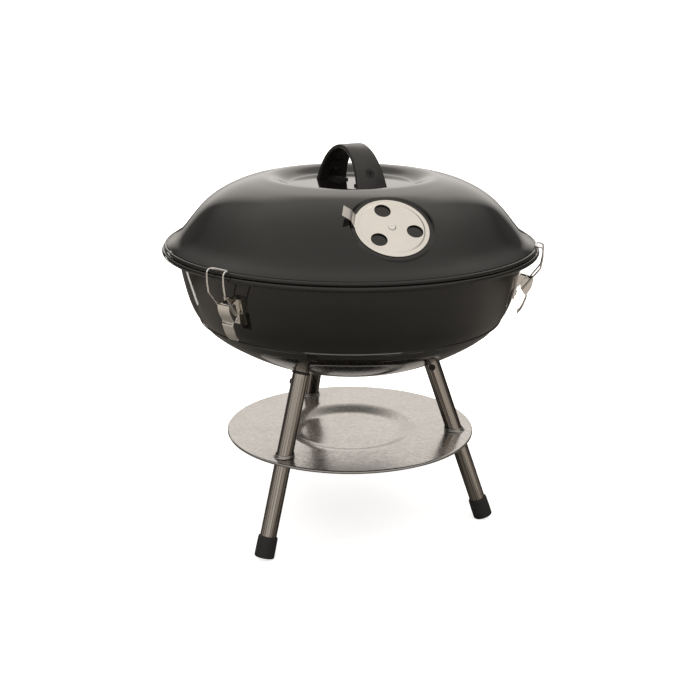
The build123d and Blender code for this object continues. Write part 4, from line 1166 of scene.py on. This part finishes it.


# painted shade of the floor as seen in reflections, by distance from the object's axis
FLOOR_REFLECTED_SHADE = [(0.0, (0.25, 0.24, 0.225)), (0.30, (0.27, 0.26, 0.245)), (0.45, (0.43, 0.41, 0.385)), (0.62, (0.55, 0.525, 0.495)), (0.95, (0.62, 0.59, 0.56)), (1.0, (0.62, 0.59, 0.56))]
FLOOR_GLOW = [(0.10, (0.68, 0.685, 0.69)), (0.30, (0.86, 0.865, 0.87)), (0.55, (1.0, 1.0, 1.0)), (1.0, (1.2, 1.2, 1.2))]
n_r, n_t = 24, 96
fv, ff = revolve([(0.001 + 6000 * (k / (n_r - 1)) ** 2, -0.02) for k in range(n_r)], np.linspace(0, 2 * math.pi, n_t, endpoint=False))
floor = mesh("floor", fv, [tuple(q)[::-1] for q in ff], floor_material(), None)

world = bpy.data.worlds.new("studio")
bpy.context.scene.world = world
world.use_nodes = True
wt = world.node_tree
wt.nodes.clear()
wo = wt.nodes.new("ShaderNodeOutputWorld")
tc = wt.nodes.new("ShaderNodeTexCoord")
sx = wt.nodes.new("ShaderNodeSeparateXYZ")
wt.links.new(tc.outputs["Generated"], sx.inputs["Vector"])
height = math_(wt, "MAXIMUM", sx.outputs["Z"], 0.0)
sky = ramp(wt, height, [(0.0, (0.02, 0.02, 0.02)), (0.30, (0.05, 0.05, 0.05)), (0.58, (0.41, 0.39, 0.37)), (0.76, (0.88, 0.84, 0.79)), (1.0, (0.96, 0.915, 0.86))])
AWAY = (-math.sin(math.radians(CAM_AZ)), math.cos(math.radians(CAM_AZ)))
along = math_(wt, "ADD", math_(wt, "MULTIPLY", sx.outputs["X"], AWAY[0]), math_(wt, "MULTIPLY", sx.outputs["Y"], AWAY[1]))
flat = math_(wt, "MAXIMUM", math_(wt, "SQRT", math_(wt, "MAXIMUM", math_(wt, "SUBTRACT", 1.0, math_(wt, "MULTIPLY", sx.outputs["Z"], sx.outputs["Z"])), 0.0)), 0.02)
bearing = math_(wt, "DIVIDE", along, flat)
behind = ramp(wt, remap(wt, bearing, 0.0, 1.0, -1.0, 1.0), [(0.0, (0.62,) * 3), (0.28, (0.50,) * 3), (0.44, (0.12,) * 3), (0.94, (0.08,) * 3), (0.97, (1.0,) * 3), (1.0, (1.2,) * 3)])
low_band = ramp(wt, height, [(0.0, (0.55, 0.525, 0.495)), (0.12, (1.0, 0.95, 0.895)), (0.58, (1.0, 0.95, 0.895)), (0.74, (0, 0, 0))])
sky = mix(wt, 1.0, sky, mix(wt, 1.0, behind, low_band, "MULTIPLY"), "ADD")
lpw = wt.nodes.new("ShaderNodeLightPath")
bg_sky = wt.nodes.new("ShaderNodeBackground")
wt.links.new(sky, bg_sky.inputs["Color"])
bg_sky.inputs["Strength"].default_value = 1.0
bg_white = wt.nodes.new("ShaderNodeBackground")
bg_white.inputs["Color"].default_value = (1, 1, 1, 1)
bg_white.inputs["Strength"].default_value = 1.3
wm = wt.nodes.new("ShaderNodeMixShader")
wt.links.new(lpw.outputs["Is Camera Ray"], wm.inputs[0])
wt.links.new(bg_sky.outputs["Background"], wm.inputs[1])
wt.links.new(bg_white.outputs["Background"], wm.inputs[2])
wt.links.new(wm.outputs["Shader"], wo.inputs["Surface"])


def area(name, az, el, dist, sx_, sy_, power, color=(1, 0.955, 0.905), target=(0, 0, 0.22), glossy=False):
    d = bpy.data.lights.new(name, "AREA")
    d.shape = "RECTANGLE"
    d.size, d.size_y = sx_, sy_
    d.energy = power
    d.color = color
    o = bpy.data.objects.new(name, d)
    bpy.context.scene.collection.objects.link(o)
    a, e = math.radians(az), math.radians(el)
    back = Vector((math.sin(a) * math.cos(e), -math.cos(a) * math.cos(e), math.sin(e)))
    o.location = Vector(target) + back * dist
    o.rotation_euler = back.to_track_quat("Z", "Y").to_euler()
    o.visible_camera = False
    o.visible_glossy = glossy
    return o


area("left_box", CAM_AZ - 62, 40, 1.7, 0.6, 0.9, 3.0)
area("right_box", CAM_AZ + 74, 44, 1.8, 0.5, 0.8, 2.0)
area("left_strip", CAM_AZ - 127, -4, 0.62, 0.045, 0.34, 0.10, glossy=True, target=(0, 0, 0.22))
area("key_spot", CAM_AZ + 8, 66, 1.6, 0.25, 0.25, 1.2)
front = area("front_strip", CAM_AZ + 2, 5, 1.8, 2.4, 0.3, 9.0, glossy=True)
front.visible_diffuse = False
# this one only picks out the pressed bead of the bowl
only = bpy.data.collections.new("bowl_only")
only.objects.link(bowl_ob)
front.light_linking.receiver_collection = only

cam_d = bpy.data.cameras.new("camera")
cam_d.lens = 62.66
cam_d.sensor_width = 36.0
cam_d.clip_start, cam_d.clip_end = 0.05, 50.0
cam = bpy.data.objects.new("camera", cam_d)
bpy.context.scene.collection.objects.link(cam)
a = math.radians(CAM_AZ)
back = Vector((math.sin(a) * math.cos(0.2946), -math.cos(a) * math.cos(0.2946), math.sin(0.2946)))
cam.location = (-0.4779, -1.0764, 0.5336)
look = back.to_track_quat("Z", "Y")
cam.rotation_mode = "QUATERNION"
roll = Matrix.Rotation(0.0044, 4, "Z")
cam.rotation_quaternion = (look.to_matrix().to_4x4() @ roll).to_quaternion()
cam_d.shift_x = -(350.29 - 350.0) / 700.0
bpy.context.scene.camera = cam

scene = bpy.context.scene
scene.view_settings.view_transform = "Standard"
scene.view_settings.look = "None"
scene.view_settings.exposure = 0.0
scene.view_settings.gamma = 1.0
scene.cycles.max_bounces = 8
scene.cycles.diffuse_bounces = 3
scene.cycles.glossy_bounces = 5
